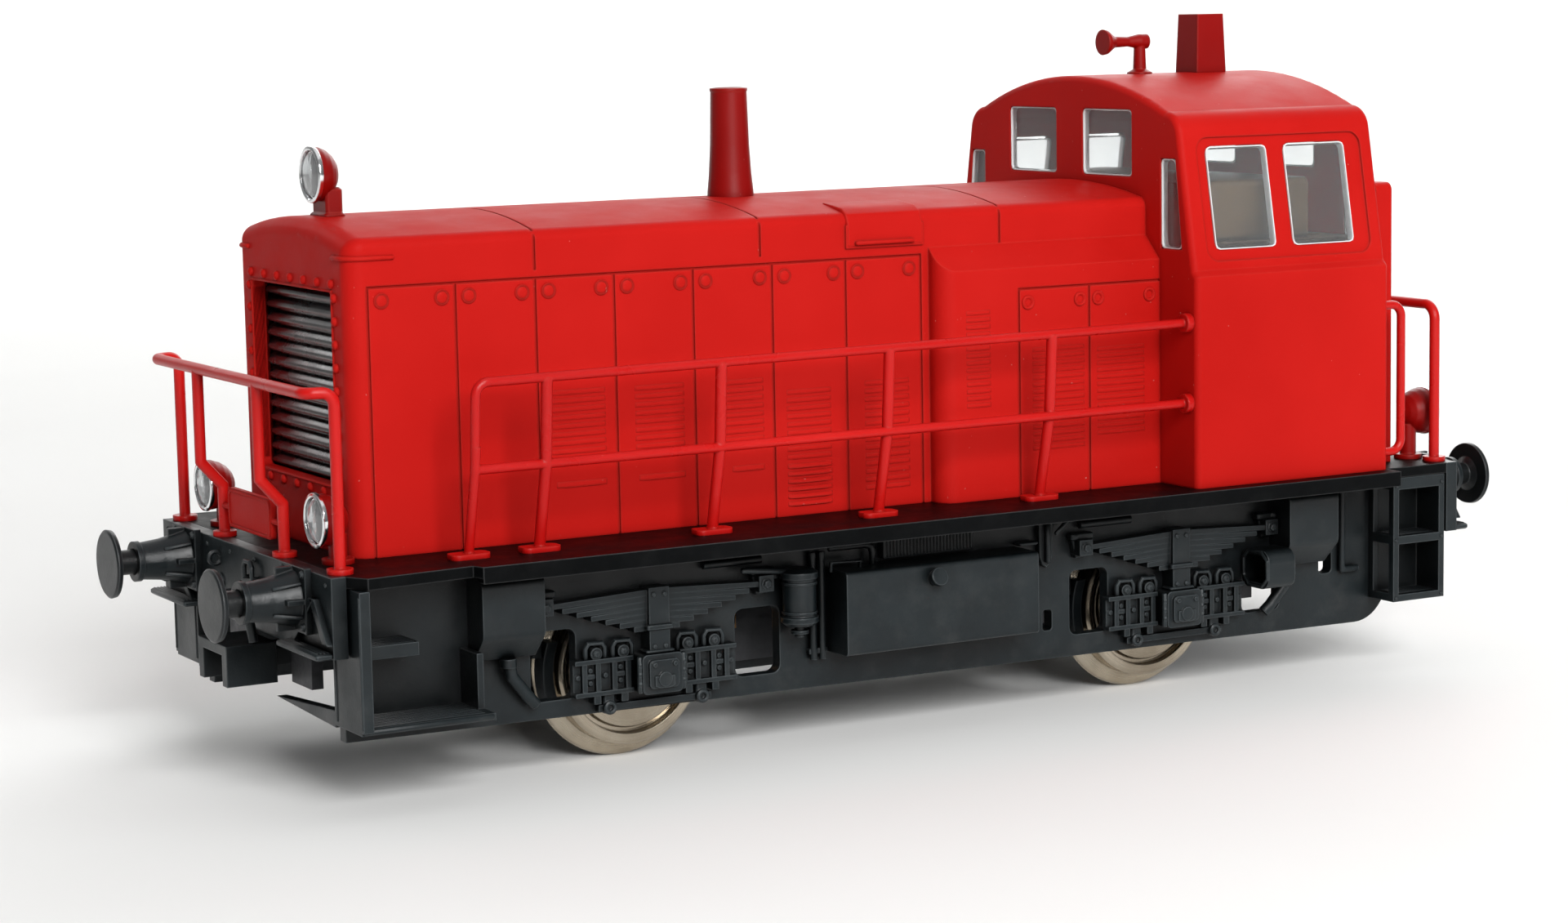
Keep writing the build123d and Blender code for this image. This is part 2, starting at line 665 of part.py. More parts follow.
def buffer(end, side):
    """A plunger with a round, slightly bevelled head."""
    face = end * BUFFER_FACE
    tail = end * (BEAM_FACE + 2.2)
    outline = [
        (tail, 0), (tail, 0.85), (face - end * 0.75, 0.85), (face - end * 0.45, 1.3),
        (face - end * 0.4, 2.3), (face - end * 0.12, 2.35), (face, 2.2), (face, 0),
    ]
    return [spun_about_x(outline, side * BUFFER_Y, BUFFER_Z)]


STEP_Y = 17.0


def front_step_boxes():
    """Open step wells at the radiator end, each with a front plate and a rail guard."""
    front, back = 43.9, 34.75
    outer = STEP_Y + 0.2
    well = block(43.2, front, FRAME_Y, outer, 4.75, SOLEBAR_LOW + 0.3)
    well += block(back, front, FRAME_Y, STEP_Y - 0.1, 4.55, 5.0)
    well += block(back, 35.2, FRAME_Y, 15.2, 4.55, 8.6)
    well += block(39.2, 43.3, FRAME_Y, 15.3, 9.0, 9.85)
    guard = end_prism([(2.3, 4.75), (12.6, 5.5), (12.6, 4.4)], FRAME_FRONT, front)
    return both_sides([well + guard])


def rear_steps():
    """Two-tier open step boxes at the cab end."""
    x0, x1 = -43.9, -39.1
    back = FRAME_Y
    frame = block(x0, x1, back, 15.45, 4.4, SOLEBAR_LOW + 0.3)
    for low, high in ((4.9, 8.7), (9.3, 12.8)):
        frame -= block(x0 + 0.5, x1 - 0.5, back + 0.4, 17, low, high)
        frame -= block(x0 + 0.5, x1 + 1, back + 0.6, 14.9, low + 0.1, high)
    return both_sides([frame])


def coupling_hooks():
    """Draw hooks with a link, and a brake hose beside each."""
    face = BEAM_FACE
    route = [
        (face - 0.9, 0, 11.4), (face + 1.6, 0, 11.4), (face + 2.2, 0, 10.7), (face + 1.7, 0, 10.1),
    ]
    link = [
        (face + 1.3, 0.75, 11.2), (face + 1.9, 0.75, 9.4), (face + 1.9, -0.75, 9.4),
        (face + 1.3, -0.75, 11.2),
    ]
    hook = bent_bar(route, 0.42) + rod((face + 1.3, -1.0, 11.2), (face + 1.3, 1.0, 11.2), 0.28)
    hook += bent_bar(link, 0.22)
    hose = [
        (face - 0.5, 4.2, 11.6), (face + 0.9, 4.2, 11.6), (face + 1.3, 4.2, 10.6),
        (face + 1.0, 4.2, 8.9),
    ]
    pieces = [hook, bent_bar(hose, 0.32)]
    return pieces + [mirror(piece, about=Plane.YZ) for piece in pieces]


# ---- couplers ----
POCKET_TIP = 47.4


def coupler_pocket(end):
    """A channel-shaped pocket, open below, on a stem that swings about an upright pin."""
    pocket = block(43.9, POCKET_TIP, -2.6, 2.6, 5.7, 8.4)
    pocket -= block(44.5, POCKET_TIP + 1, -1.75, 1.75, 5, 7.75)
    stem = block(COUPLER_PIVOT_X, 44.2, -1.5, 1.5, STEM_LOW, STEM_TOP)
    stem += rod((COUPLER_PIVOT_X, 0, STEM_LOW), (COUPLER_PIVOT_X, 0, STEM_TOP), 1.9)
    stem -= rod((COUPLER_PIVOT_X, 0, 0), (COUPLER_PIVOT_X, 0, 12), PIN_R + RUNNING)
    shape = pocket + stem
    return [shape if end > 0 else mirror(shape, about=Plane.YZ)]


def coupler_pivots():
    """Shouldered pins that hold the pockets up under the frame."""
    shapes = []
    for end, _ in ENDS:
        x = end * COUPLER_PIVOT_X
        outline = [
            (0, 5.9), (1.4, 5.9), (1.4, STEM_LOW - RUNNING), (PIN_R, STEM_LOW - RUNNING),
            (PIN_R, PIN_TOP), (0, PIN_TOP),
        ]
        shapes.append(spun_about_z(outline, x, 0))
    return shapes


# ---- bodywork ----
def cab_body(inset):
    """The cab as one solid: upright lower walls, a ledge, leaning sides, an arched roof."""
    half = CAB_HALF - inset
    eaves = (13.75 - inset, 39.6)
    brow = (12.0 - inset, 41.2 - inset)
    crown = (0, CAB_CROWN - inset)
    bend = (13.15 - inset, 40.75 - inset * 0.6)
    wall = [(half, DECK_TOP), (half, LEDGE_Z - 0.25), (half - 0.4, LEDGE_Z + 0.15), eaves]
    other = [(-y, z) for y, z in reversed(wall)]
    outline = Curve() + [
        Polyline(*other, *wall[:1]),
        Polyline(*wall),
        ThreePointArc(eaves, bend, brow),
        ThreePointArc(brow, crown, (-brow[0], brow[1])),
        ThreePointArc((-brow[0], brow[1]), (-bend[0], bend[1]), other[0]),
    ]
    plane = Plane(origin=(CAB_REAR + inset, 0, 0), x_dir=(0, 1, 0), z_dir=(1, 0, 0))
    return extrude(plane * make_face(outline), CAB_FRONT - CAB_REAR - 2 * inset)


SIDE_WINDOWS = ((-28.5, -23.1), (-35.55, -30.0))


def cab_window_cutters():
    """Solids that cut every window opening through the cab walls."""
    cutters = []
    for x0, x1 in SIDE_WINDOWS:
        cutters += both_sides([soft_block(x0, x1, 12, 18, 31.4, 38.7, 0.6, Axis.Y)])
    for x in (CAB_FRONT, CAB_REAR):
        pane = soft_block(x - 1.5, x + 1.5, 1.7, 8.0, 36.45, 41.3, 0.3, Axis.X)
        corner = [(11.55, 31.45), (14.1, 31.45), (13.35, 37.9), (11.55, 37.9)]
        cutters += both_sides([pane, end_prism(corner, x - 1.5, x + 1.5)])
    return cutters


LOCKER_REAR = -41.2


def cab_shell():
    """The hollow cab with its window openings and the locker on its rear wall."""
    shell = cab_body(0)
    for x in (CAB_FRONT, CAB_REAR):
        rim = shell.faces().filter_by(Plane.YZ).sort_by(Axis.X)
        face = rim[-1] if x == CAB_FRONT else rim[0]
        edges = face.edges().filter_by(lambda edge: edge.center().Z > DECK_TOP + 0.1)
        shell = fillet(edges, 0.45)
    locker = soft_block(LOCKER_REAR, CAB_REAR + 0.2, -12.5, 12.5, DECK_TOP, 35.4, 0.6, Axis.X)
    shell += locker + block(LOCKER_REAR, CAB_REAR + 0.2, -12.5, 12.5, DECK_TOP, 30)
    shell -= cab_body(WALL) & block(-60, 0, -30, 30, DECK_TOP - 1, 60)
    skin = cab_body(0) - cab_body(0.16)
    for recess in both_sides([soft_block(-37.0, -22.3, 12, 20, 30.6, 39.35, 1.0, Axis.Y)]):
        shell -= skin & recess
    for cutter in cab_window_cutters():
        shell -= cutter
    shell -= block(CAB_FRONT - 1.5, 0, -7.4, 7.4, 0, 30)
    for fitting in horn() + roof_vent():
        shell -= fitting
    return [shell]


def cab_windows():
    """Clear panes that fill the window openings."""
    layer = cab_body(0.22) - cab_body(WALL)
    return [(cutter & layer).solids()[0] for cutter in cab_window_cutters()]


def cab_interior():
    """The cab's inner fittings in one tan piece: a floor, a sill ledge and an engine casing."""
    floor = block(-36.8, -22.2, -14.2, 14.2, 28.4, 31.7)
    floor -= block(-36.0, -33.6, -11.0, 11.0, 29.3, 33)
    casing = soft_block(-33.1, -22.2, -12.6, 12.6, 31.6, 36.1, 0.5, Axis.X)
    panel = [(-33.0, 31.6), (-33.0, 36.0), (-33.9, 35.1), (-33.9, 33.2), (-33.3, 31.6)]
    return [floor + casing + side_prism(panel, -9.0, 9.0)]


def hood_body(inset):
    """The hood as one solid: upright sides, a cambered roof, a wider chamfered rear."""
    half = HOOD_HALF - inset
    shoulder = (half, SHOULDER_Z - inset * 0.4)
    crown = (0, CROWN_Z - inset)
    outline = Curve() + [
        Polyline((-shoulder[0], shoulder[1]), (-half, DECK_TOP), (half, DECK_TOP), shoulder),
        ThreePointArc(shoulder, crown, (-shoulder[0], shoulder[1])),
    ]
    plane = Plane(origin=(CAB_FRONT, 0, 0), x_dir=(0, 1, 0), z_dir=(1, 0, 0))
    shape = extrude(plane * make_face(outline), HOOD_FRONT - inset - CAB_FRONT)
    if inset == 0:
        shoulders = shape.edges().filter_by(Axis.X).filter_by(lambda e: e.center().Z > 30)
        shape = fillet(shoulders, 0.8)
        front = shape.faces().sort_by(Axis.X)[-1]
        rim = front.edges().filter_by(lambda e: e.center().Z > DECK_TOP + 0.1)
        shape = fillet(rim, 1.2)
    wide = WIDE_HALF - inset
    skirt = [
        (-wide, DECK_TOP), (wide, DECK_TOP), (wide, 30.7), (half, 32.35), (-half, 32.35),
        (-wide, 30.7),
    ]
    rear = end_prism(skirt, CAB_FRONT, WIDE_FRONT - 0.3 - inset)
    if inset == 0:
        uprights = rear.edges().filter_by(Axis.Z).group_by(Axis.X)[-1]
        rear = fillet(uprights, 1.3)
    return shape + rear


PANEL_LINES = (39.6, 33.5, 27.8, 22.05, 16.15, 10.08, 4.3, -1.75)
DOOR_LINES = (-8.8, -14.75)
ROOF_SEAMS = (27.8, 10.97, -8.3)


def hood_shell():
    """The hollow hood with its radiator opening and panel joints."""
    hollow = hood_body(WALL) - block(CAB_FRONT - 9, CAB_FRONT + WALL, -30, 30, 0, 99)
    shell = hood_body(0) - hollow
    shell -= block(-60, 60, -30, 30, 0, DECK_TOP)
    near, far = HOOD_FRONT - 3, HOOD_FRONT + 1
    half = GRILLE_HALF
    opening = soft_block(near, far, -half, half, GRILLE_LOW, GRILLE_TOP, 0.5, Axis.X)
    shell -= opening
    shell -= block(CAB_FRONT - 1, CAB_FRONT + 2, -7.4, 7.4, 0, 30)
    cuts = []
    depth, thin = HOOD_HALF - GROOVE, GROOVE / 2
    for x in PANEL_LINES:
        cuts.append(block(x - thin, x + thin, depth, HOOD_HALF + 1, DECK_TOP, 31.85))
    cuts.append(block(-1.8, 39.65, depth, HOOD_HALF + 1, 31.8, 31.8 + GROOVE))
    wide = WIDE_HALF - GROOVE
    for x in DOOR_LINES:
        cuts.append(block(x - thin, x + thin, wide, WIDE_HALF + 1, DECK_TOP, 29.15))
    cuts.append(block(CAB_FRONT, -8.75, wide, WIDE_HALF + 1, 29.1, 29.1 + GROOVE))
    cuts = both_sides(cuts)
    skin = hood_body(0) - hood_body(GROOVE)
    for x in ROOF_SEAMS:
        cuts.append(skin & block(x - thin, x + thin, -20, 20, 32.4, 40))
    for cut in cuts:
        shell -= cut
    plug = block(-1.95, 4.3, 7.2, HOOD_HALF + 0.18, 32.6, 34.2)
    shell += plug + mirrored(plug)
    for fitting in exhaust_stack() + top_headlamp():
        shell -= fitting
    return [shell]


def radiator_grille():
    """A framed panel of sloping louvre slats behind the radiator opening."""
    back = HOOD_FRONT - 1.9
    face = HOOD_FRONT - WALL
    half = GRILLE_HALF + 0.8
    panel = block(back, back + 0.5, -half, half, GRILLE_LOW - 0.8, GRILLE_TOP + 0.8)
    pitch = (GRILLE_TOP - GRILLE_LOW) / LOUVRES
    for step in range(LOUVRES):
        z = GRILLE_LOW + step * pitch
        slat = [
            (back + 0.45, z + pitch * 0.95), (face - 0.25, z + pitch * 0.72),
            (face - 0.05, z + pitch * 0.48), (face, z + pitch * 0.28),
            (face - 0.1, z + pitch * 0.1), (back + 0.45, z + pitch * 0.15),
        ]
        panel += side_prism(slat, -GRILLE_HALF + 0.05, GRILLE_HALF - 0.05)
    return [panel]


def exhaust_stack():
    """A tapered exhaust pipe on a flared foot, bored at the top."""
    x = 7.85
    outline = [
        (0, 35.85), (1.65, 35.85), (1.63, 36.3), (1.5, 37.6), (1.38, 39.6), (1.28, 43.3),
        (1.33, 43.35), (1.33, 43.55), (0.95, 43.6), (0.9, 41.5), (0, 41.5),
    ]
    return [spun_about_z(outline, x, 0)]


def lamp(face_x, y, z, radius, depth):
    """A bullet-shaped lamp housing with an open front rim, facing along X."""
    way = 1 if face_x > 0 else -1
    outline = [(face_x, radius - 0.25), (face_x, radius)]
    for step in range(1, 6):
        turn = radians(15 * step)
        outline.append((face_x - way * depth * sin(turn), radius * cos(turn)))
    outline += [
        (face_x - way * depth, 0), (face_x - way * 0.7, 0), (face_x - way * 0.5, radius - 0.25),
    ]
    return spun_about_x(outline, y, z)


def lens(face_x, y, z, radius):
    """A domed lamp glass that sits in the housing's rim."""
    way = 1 if face_x > 0 else -1
    outline = [
        (face_x - way * 0.45, 0), (face_x - way * 0.45, radius - 0.3),
        (face_x, radius - 0.3), (face_x + way * 0.25, radius * 0.6), (face_x + way * 0.35, 0),
    ]
    return spun_about_x(outline, y, z)


TOP_LAMP = (39.2, 0, 38.75)
LOW_LAMPS = ((1, 43.8, 10.2, 17.35), (-1, -45.0, 11.6, 18.0))    # end, face, Y, Z


def top_headlamp():
    """The headlamp above the radiator, on a short box-shaped pillar."""
    x, y, z = TOP_LAMP
    pillar = soft_block(x - 1.6, x - 0.55, y - 0.82, y + 0.82, 35.6, z - 1.0, 0.15, Axis.Z)
    return [lamp(x, y, z, 1.85, 1.75) + pillar]


def lower_lamps():
    """Four deck lamps, two at each end, on short posts."""
    shapes = []
    for end, face, y, z in LOW_LAMPS:
        x = face - end * 1.4
        body = lamp(face, y, z, 1.75, 2.1)
        body += rod((x, y, DECK_TOP), (x, y, z - 0.9), 0.6)
        body += rod((x, y, DECK_TOP), (x, y, DECK_TOP + 0.35), 1.05)
        shapes += both_sides([body])
    return shapes


def lower_lamp_lenses():
    shapes = []
    for _, face, y, z in LOW_LAMPS:
        shapes += both_sides([lens(face, y, z, 1.75)])
    return shapes


def horn():
    """A trumpet horn facing forward on an elbowed stand."""
    z = 46.05
    outline = [
        (-23.95, 0), (-23.95, 0.95), (-24.25, 0.9), (-25.0, 0.42), (-26.2, 0.36), (-27.2, 0.55),
        (-27.9, 0.55), (-27.9, 0),
    ]
    trumpet = spun_about_x(outline, 0, z)
    stand = [(0, 43.4), (0.95, 43.4), (0.95, 43.75), (0.5, 44.0), (0.42, 46.0), (0, 46.0)]
    return [trumpet + spun_about_z(stand, -27.3, 0)]


def roof_vent():
    """A box-shaped roof ventilator that widens slightly towards its foot."""
    x, low, high = -32.95, 43.55, 48.0
    bottom = Plane.XY.offset(low) * Pos(x, 0) * Rectangle(2.7, 2.7)
    top = Plane.XY.offset(high) * Pos(x, 0) * Rectangle(2.35, 2.45)
    return [loft([bottom, top])]


# ---- handrails ----
RAIL_Y = 14.93
FOOT_Y = 13.3


def side_handrail():
    """Two rails from a leading bend back to the cab's front wall, on leaning posts."""
    cab_end = CAB_FRONT
    front_top, rear_top = 25.9, 26.34
    front_mid, rear_mid = 20.3, 20.6
    lead = 34.6

    def height(x, front, rear):
        return front + (rear - front) * (lead - x) / (lead - cab_end)

    middle = (lead + 0.05, RAIL_Y - 0.35, front_mid)
    top = [(cab_end + 0.1, RAIL_Y, rear_top), (lead, RAIL_Y, front_top), middle]
    shape = curved_wire(top, RAIL_R, 0.9)
    shape += bent_bar([(lead, RAIL_Y - 0.2, 21.8), middle, (lead + 0.1, FOOT_Y, DECK_TOP + 0.2)], RAIL_R)
    shape += rod((cab_end + 0.1, RAIL_Y, rear_mid), middle, RAIL_R)
    for x in (29.6, 16.9, 4.0, -9.2):
        post = [
            (x, RAIL_Y, height(x, front_top, rear_top)),
            (x + 0.05, RAIL_Y - 0.35, height(x, front_mid, rear_mid)),
            (x + 0.1, FOOT_Y, DECK_TOP + 0.2),
        ]
        shape += bent_bar(post, POST_R)
    for x in (lead + 0.1, 29.7, 17.0, 4.1, -9.1):
        low, high = FOOT_Y - 0.75, FOOT_Y + 0.75
        shape += soft_block(x - 1.35, x + 1.35, low, high, DECK_TOP, DECK_TOP + 0.35, 0.5, Axis.Z)
    for z in (rear_top, rear_mid):
        shape += rod((cab_end, RAIL_Y, z), (cab_end + 0.55, RAIL_Y, z), 0.68)
    return shape


def side_handrails():
    return both_sides([side_handrail()])


END_RAIL_TOP = 25.9
END_POST_X = 43.9
END_BAR_X = 45.7
END_POST_Y = 14.2
INNER_POST_Y = 5.5
REAR_RAIL_X = -44.1
REAR_RAIL_TOP = 26.2
REAR_POST_Y = 14.0


def rail_foot(x, y, radius):
    """A round foot plate on the deck under a handrail post."""
    return rod((x, y, DECK_TOP), (x, y, DECK_TOP + 0.35), radius)


def front_handrail():
    """A cross bar on four posts; the inner pair is cranked and carries the plate."""
    bar, post, foot = END_BAR_X, END_POST_X, 44.2
    side, shoulder = END_POST_Y, END_POST_Y - 0.4
    top = [
        (post, -side, DECK_TOP), (post, -side, END_RAIL_TOP), (bar, -shoulder, END_RAIL_TOP),
        (bar, shoulder, END_RAIL_TOP), (post, side, END_RAIL_TOP), (post, side, DECK_TOP),
    ]
    shape = curved_wire(top, POST_R, 0.8)
    for y in (-INNER_POST_Y, INNER_POST_Y):
        crank = [(bar, y, END_RAIL_TOP), (bar, y, 19.6), (foot, y, 17.9), (foot, y, DECK_TOP)]
        shape += bent_bar(crank, POST_R) + rail_foot(foot, y, 0.8)
    for y in (-side, side):
        shape += rail_foot(post, y, 0.85)
    return [shape]


def rear_handrails():
    """The straight rear cross rail and two upright grab rails beside the cab."""
    x, side = REAR_RAIL_X, REAR_POST_Y
    hoop = [
        (x, -side, DECK_TOP), (x, -side, REAR_RAIL_TOP), (x, side, REAR_RAIL_TOP),
        (x, side, DECK_TOP),
    ]
    rail = curved_wire(hoop, POST_R, 1.1)
    for y in (-side, side):
        rail += rail_foot(x, y, 0.85)
    for y in (-INNER_POST_Y, INNER_POST_Y):
        rail += rod((x, y, DECK_TOP), (x, y, REAR_RAIL_TOP), POST_R) + rail_foot(x, y, 0.8)
    x, y = -40.4, 14.6
    grab = [
        (CAB_REAR - 0.02, y, 26.5), (x, y, 26.5), (x, y, 15.6), (CAB_REAR - 0.02, y, 15.6),
    ]
    return [rail] + both_sides([curved_wire(grab, RAIL_R, 0.9)])


def number_plates():
    """Blank plates held between the inner posts at each end, on short lugs."""
    shapes = []
    for end, _ in ENDS:
        x = end * 44.25
        plate = soft_block(x - 0.2, x + 0.2, -3.9, 3.9, 15.35, 18.0, 0.4, Axis.X)
        for side in (1, -1):
            lug = rod((x, side * 3.8, 16.6), (x, side * (INNER_POST_Y - POST_R - 0.01), 16.6), 0.2)
            plate += lug
        shapes.append(plate)
    return shapes


# ---- electrics ----
def circuit_board():
    """A board under the hood roof with its coil and suppressors, on two brackets."""
    low = MOTOR_Z + 8.2
    high = low + 0.8
    pieces = [soft_block(MID_X - 15, MID_X + 15, -6.5, 6.5, low, high, 0.6, Axis.Z)]
    for offset, length, width, height in ((-9, 5, 4, 1.6), (0, 8, 5, 2.2), (9, 3, 2, 1.4)):
        x0 = MID_X + offset - length / 2
        pieces.append(block(x0, x0 + length, -width / 2, width / 2, high, high + height))
    bracket = block(MID_X - 1, MID_X + 1, 7.0, 8.0, DECK_TOP, low)
    bracket += block(MID_X - 1, MID_X + 1, 6.0, 8.0, low - 0.5, low)
    return pieces + both_sides([bracket])


os.makedirs("parts", exist_ok=True)
front_axle, rear_axle = AXLES
nodes = {
    "chassis_block": chassis_block,
    "keeper_plate": keeper_plate,
    "keeper_screws": screws,
    "axle_bushes": axle_bushes,
    "idler_pins": idler_pins,
    "worm_bearings": worm_bearings,
    "motor_housing": motor_housing,
    "motor_clamp": motor_clamp,
    "motor_shaft": motor_shaft,
    "flywheels": flywheels,
    "worms": worms,
    "pickup_wipers": pickup_wipers,
    "circuit_board": circuit_board,
    "brake_shoes": brake_shoes,
    "side_frames": side_frames,
    "leaf_springs": leaf_springs,
    "axle_boxes": axle_boxes,
    "axle_box_guides": axle_box_guides,
    "sandboxes": sandboxes,
    "sand_pipes": sand_pipes,
    "fuel_tanks": fuel_tanks,
    "brake_cylinders": brake_cylinders,
    "air_pipes": air_pipes,
    "running_board": running_board,
    "buffer_beams": buffer_beams,
    "buffer_housings": buffer_housings,
    "front_step_boxes": front_step_boxes,
    "rear_steps": rear_steps,
    "coupling_hooks": coupling_hooks,
    "coupler_pivots": coupler_pivots,
    "cab_shell": cab_shell,
    "cab_windows": cab_windows,
    "cab_interior": cab_interior,
    "hood_shell": hood_shell,
    "radiator_grille": radiator_grille,
    "exhaust_stack": exhaust_stack,
    "top_headlamp": top_headlamp,
    "lower_lamps": lower_lamps,
    "lower_lamp_lenses": lower_lamp_lenses,
    "horn": horn,
    "roof_vent": roof_vent,
    "side_handrails": side_handrails,
    "front_handrail": front_handrail,
    "rear_handrails": rear_handrails,
    "number_plates": number_plates,
}
for name, make in nodes.items():
    save(name, make())
save("top_headlamp_lens", [lens(*TOP_LAMP, 1.85)])
for x, place in ((front_axle, "front"), (rear_axle, "rear")):
    save(f"{place}_wheels", wheels(x))
    save(f"{place}_axle", axle(x))
    save(f"{place}_axle_gear", axle_gear(x))
    save(f"{place}_idler_gear", idler(x))
for end, place in ENDS:
    save(f"{place}_coupler_pocket", coupler_pocket(end))
    for side, hand in ((1, "left"), (-1, "right")):
        save(f"{place}_{hand}_buffer", buffer(end, side))
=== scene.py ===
import json
import math

import bmesh
import bpy
from mathutils import Matrix, Vector


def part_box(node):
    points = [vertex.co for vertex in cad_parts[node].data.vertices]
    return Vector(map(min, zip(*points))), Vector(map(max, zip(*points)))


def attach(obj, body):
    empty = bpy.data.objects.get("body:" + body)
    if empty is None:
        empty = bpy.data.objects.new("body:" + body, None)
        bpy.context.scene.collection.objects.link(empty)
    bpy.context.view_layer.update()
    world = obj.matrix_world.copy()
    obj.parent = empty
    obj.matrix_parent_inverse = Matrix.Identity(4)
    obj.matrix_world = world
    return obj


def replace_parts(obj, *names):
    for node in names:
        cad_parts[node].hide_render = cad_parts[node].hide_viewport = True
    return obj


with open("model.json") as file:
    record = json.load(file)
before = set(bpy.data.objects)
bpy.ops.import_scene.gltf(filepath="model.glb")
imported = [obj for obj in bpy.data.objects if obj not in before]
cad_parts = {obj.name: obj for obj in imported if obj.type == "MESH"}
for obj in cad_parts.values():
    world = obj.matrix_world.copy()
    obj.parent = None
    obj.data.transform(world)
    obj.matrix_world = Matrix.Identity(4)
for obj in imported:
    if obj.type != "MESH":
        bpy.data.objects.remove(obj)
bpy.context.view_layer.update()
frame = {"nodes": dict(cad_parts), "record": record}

MM = 0.001
RAIL = 1.0                       # rail top above the frame's origin, in mm
SIDES = (1, -1)                  # left and right, or front and rear


# ---------------------------------------------------------------- measures from the frame
def span(node):
    """A CAD node's box in mm, with heights from the rail top."""
    low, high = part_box(node)
    lift = Vector((0, 0, RAIL))
    return low / MM - lift, high / MM - lift


HOOD_HIGH = span("hood_shell")[1]
DECK_LOW, DECK_HIGH = span("running_board")
DECK = DECK_HIGH.z
NOSE = HOOD_HIGH.x               # front face of the hood
WIDE = HOOD_HIGH.y               # half width of the hood's rear section
SLIM = WIDE - 1.68               # half width of the hood proper
CAB_FRONT = span("cab_shell")[1].x
PLATE = span("side_frames")[1].y     # outer face of the frame plates
BEAM = span("buffer_beams")[1].x     # outer face of the buffer beams
AXLES = [sum(corner.x for corner in span(node)) / 2 for node in ("front_axle", "rear_axle")]


# ---------------------------------------------------------------- materials
RED_DUST = (0.60, 0.36, 0.32)
# a paler orange-red painted on sharp edges as a highlight
RED_EDGE_HIGHLIGHT = (0.62, 0.07, 0.05)
GREY_DUST = (0.20, 0.20, 0.19)
DUST_TOP = 0.02                  # height in metres at which the grime from the rail has faded


class Nodes:
    """A small helper that adds and links shader nodes."""

    def __init__(self, name, surface):
        self.mat = bpy.data.materials.new(name)
        self.mat.use_nodes = True
        self.tree = self.mat.node_tree
        self.tree.nodes.clear()
        self.out = self.tree.nodes.new("ShaderNodeOutputMaterial")
        self.bsdf = self.tree.nodes.new("ShaderNodeBsdfPrincipled")
        self.link(self.bsdf.outputs[0], self.out.inputs[0])
        self.where = self.tree.nodes.new("ShaderNodeTexCoord").outputs["Object"]
        for key, value in surface.items():
            self.bsdf.inputs[key].default_value = value

    def link(self, source, target):
        self.tree.links.new(source, target)

    def set(self, key, source):
        self.link(source, self.bsdf.inputs[key])

    def axes(self):
        """The object's own X, Y and Z."""
        node = self.tree.nodes.new("ShaderNodeSeparateXYZ")
        self.link(self.where, node.inputs[0])
        return node.outputs

    def noise(self, scale, detail=3.0, roughness=0.55, stretch=None):
        """Noise over the object's own coordinates; scale is in features per metre."""
        node = self.tree.nodes.new("ShaderNodeTexNoise")
        node.inputs["Scale"].default_value = scale
        node.inputs["Detail"].default_value = detail
        node.inputs["Roughness"].default_value = roughness
        place = self.where
        if stretch:
            mapping = self.tree.nodes.new("ShaderNodeMapping")
            mapping.inputs["Scale"].default_value = stretch
            self.link(place, mapping.inputs[0])
            place = mapping.outputs[0]
        self.link(place, node.inputs["Vector"])
        return node.outputs[0]

    def ramp(self, source, stops):
        """A colour ramp; stops are (position, colour)."""
        node = self.tree.nodes.new("ShaderNodeValToRGB")
        elements = node.color_ramp.elements
        while len(elements) < len(stops):
            elements.new(0.5)
        for element, (position, colour) in zip(elements, stops):
            element.position = position
            element.color = (*colour, 1)
        self.link(source, node.inputs[0])
        return node.outputs[0]

    def map(self, source, low, high, start=0.0, end=1.0):
        """Rescales a value, kept between its two ends."""
        node = self.tree.nodes.new("ShaderNodeMapRange")
        node.inputs["From Min"].default_value = start
        node.inputs["From Max"].default_value = end
        node.inputs["To Min"].default_value = low
        node.inputs["To Max"].default_value = high
        self.link(source, node.inputs["Value"])
        return node.outputs[0]

    def maths(self, operation, first, second):
        """A maths node; the second value is a number or another node's output."""
        node = self.tree.nodes.new("ShaderNodeMath")
        node.operation = operation
        self.link(first, node.inputs[0])
        if isinstance(second, float):
            node.inputs[1].default_value = second
        else:
            self.link(second, node.inputs[1])
        return node.outputs[0]

    def mix(self, factor, first, second):
        """Mixes two colours, each a plain one or another node's output."""
        node = self.tree.nodes.new("ShaderNodeMix")
        node.data_type = "RGBA"
        self.link(factor, node.inputs["Factor"])
        for socket, value in ((node.inputs["A"], first), (node.inputs["B"], second)):
            if isinstance(value, tuple):
                socket.default_value = (*value, 1)
            else:
                self.link(value, socket)
        return node.outputs["Result"]

    def bump(self, height, strength, distance, under=None):
        """Bumps from a height, on top of another normal if one is given."""
        node = self.tree.nodes.new("ShaderNodeBump")
        node.inputs["Strength"].default_value = strength
        node.inputs["Distance"].default_value = distance
        self.link(height, node.inputs["Height"])
        if under is not None:
            self.link(under, node.inputs["Normal"])
        return node.outputs[0]

    def soft_edges(self, radius):
        """Rounds the shading along sharp edges, as moulded or painted edges look."""
        node = self.tree.nodes.new("ShaderNodeBevel")
        node.samples = 4
        node.inputs["Radius"].default_value = radius
        return node.outputs[0]

    def edges(self, radius, gain):
        """The gain on sharp edges and 0 on flats, for the paler painted highlight along edges."""
        flat = self.tree.nodes.new("ShaderNodeNewGeometry").outputs["Normal"]
        dot = self.tree.nodes.new("ShaderNodeVectorMath")
        dot.operation = "DOT_PRODUCT"
        self.link(self.soft_edges(radius), dot.inputs[0])
        self.link(flat, dot.inputs[1])
        return self.map(dot.outputs["Value"], gain, 0.0, 0.86, 0.995)

    def painted_hollow_shade(self, reach, low):
        """Painted shade: 1 in the open, falling towards a low value in recesses and corners."""
        node = self.tree.nodes.new("ShaderNodeAmbientOcclusion")
        node.samples = 12
        node.inputs["Distance"].default_value = reach
        return self.map(node.outputs["AO"], low, 1.0, 0.4, 0.97)


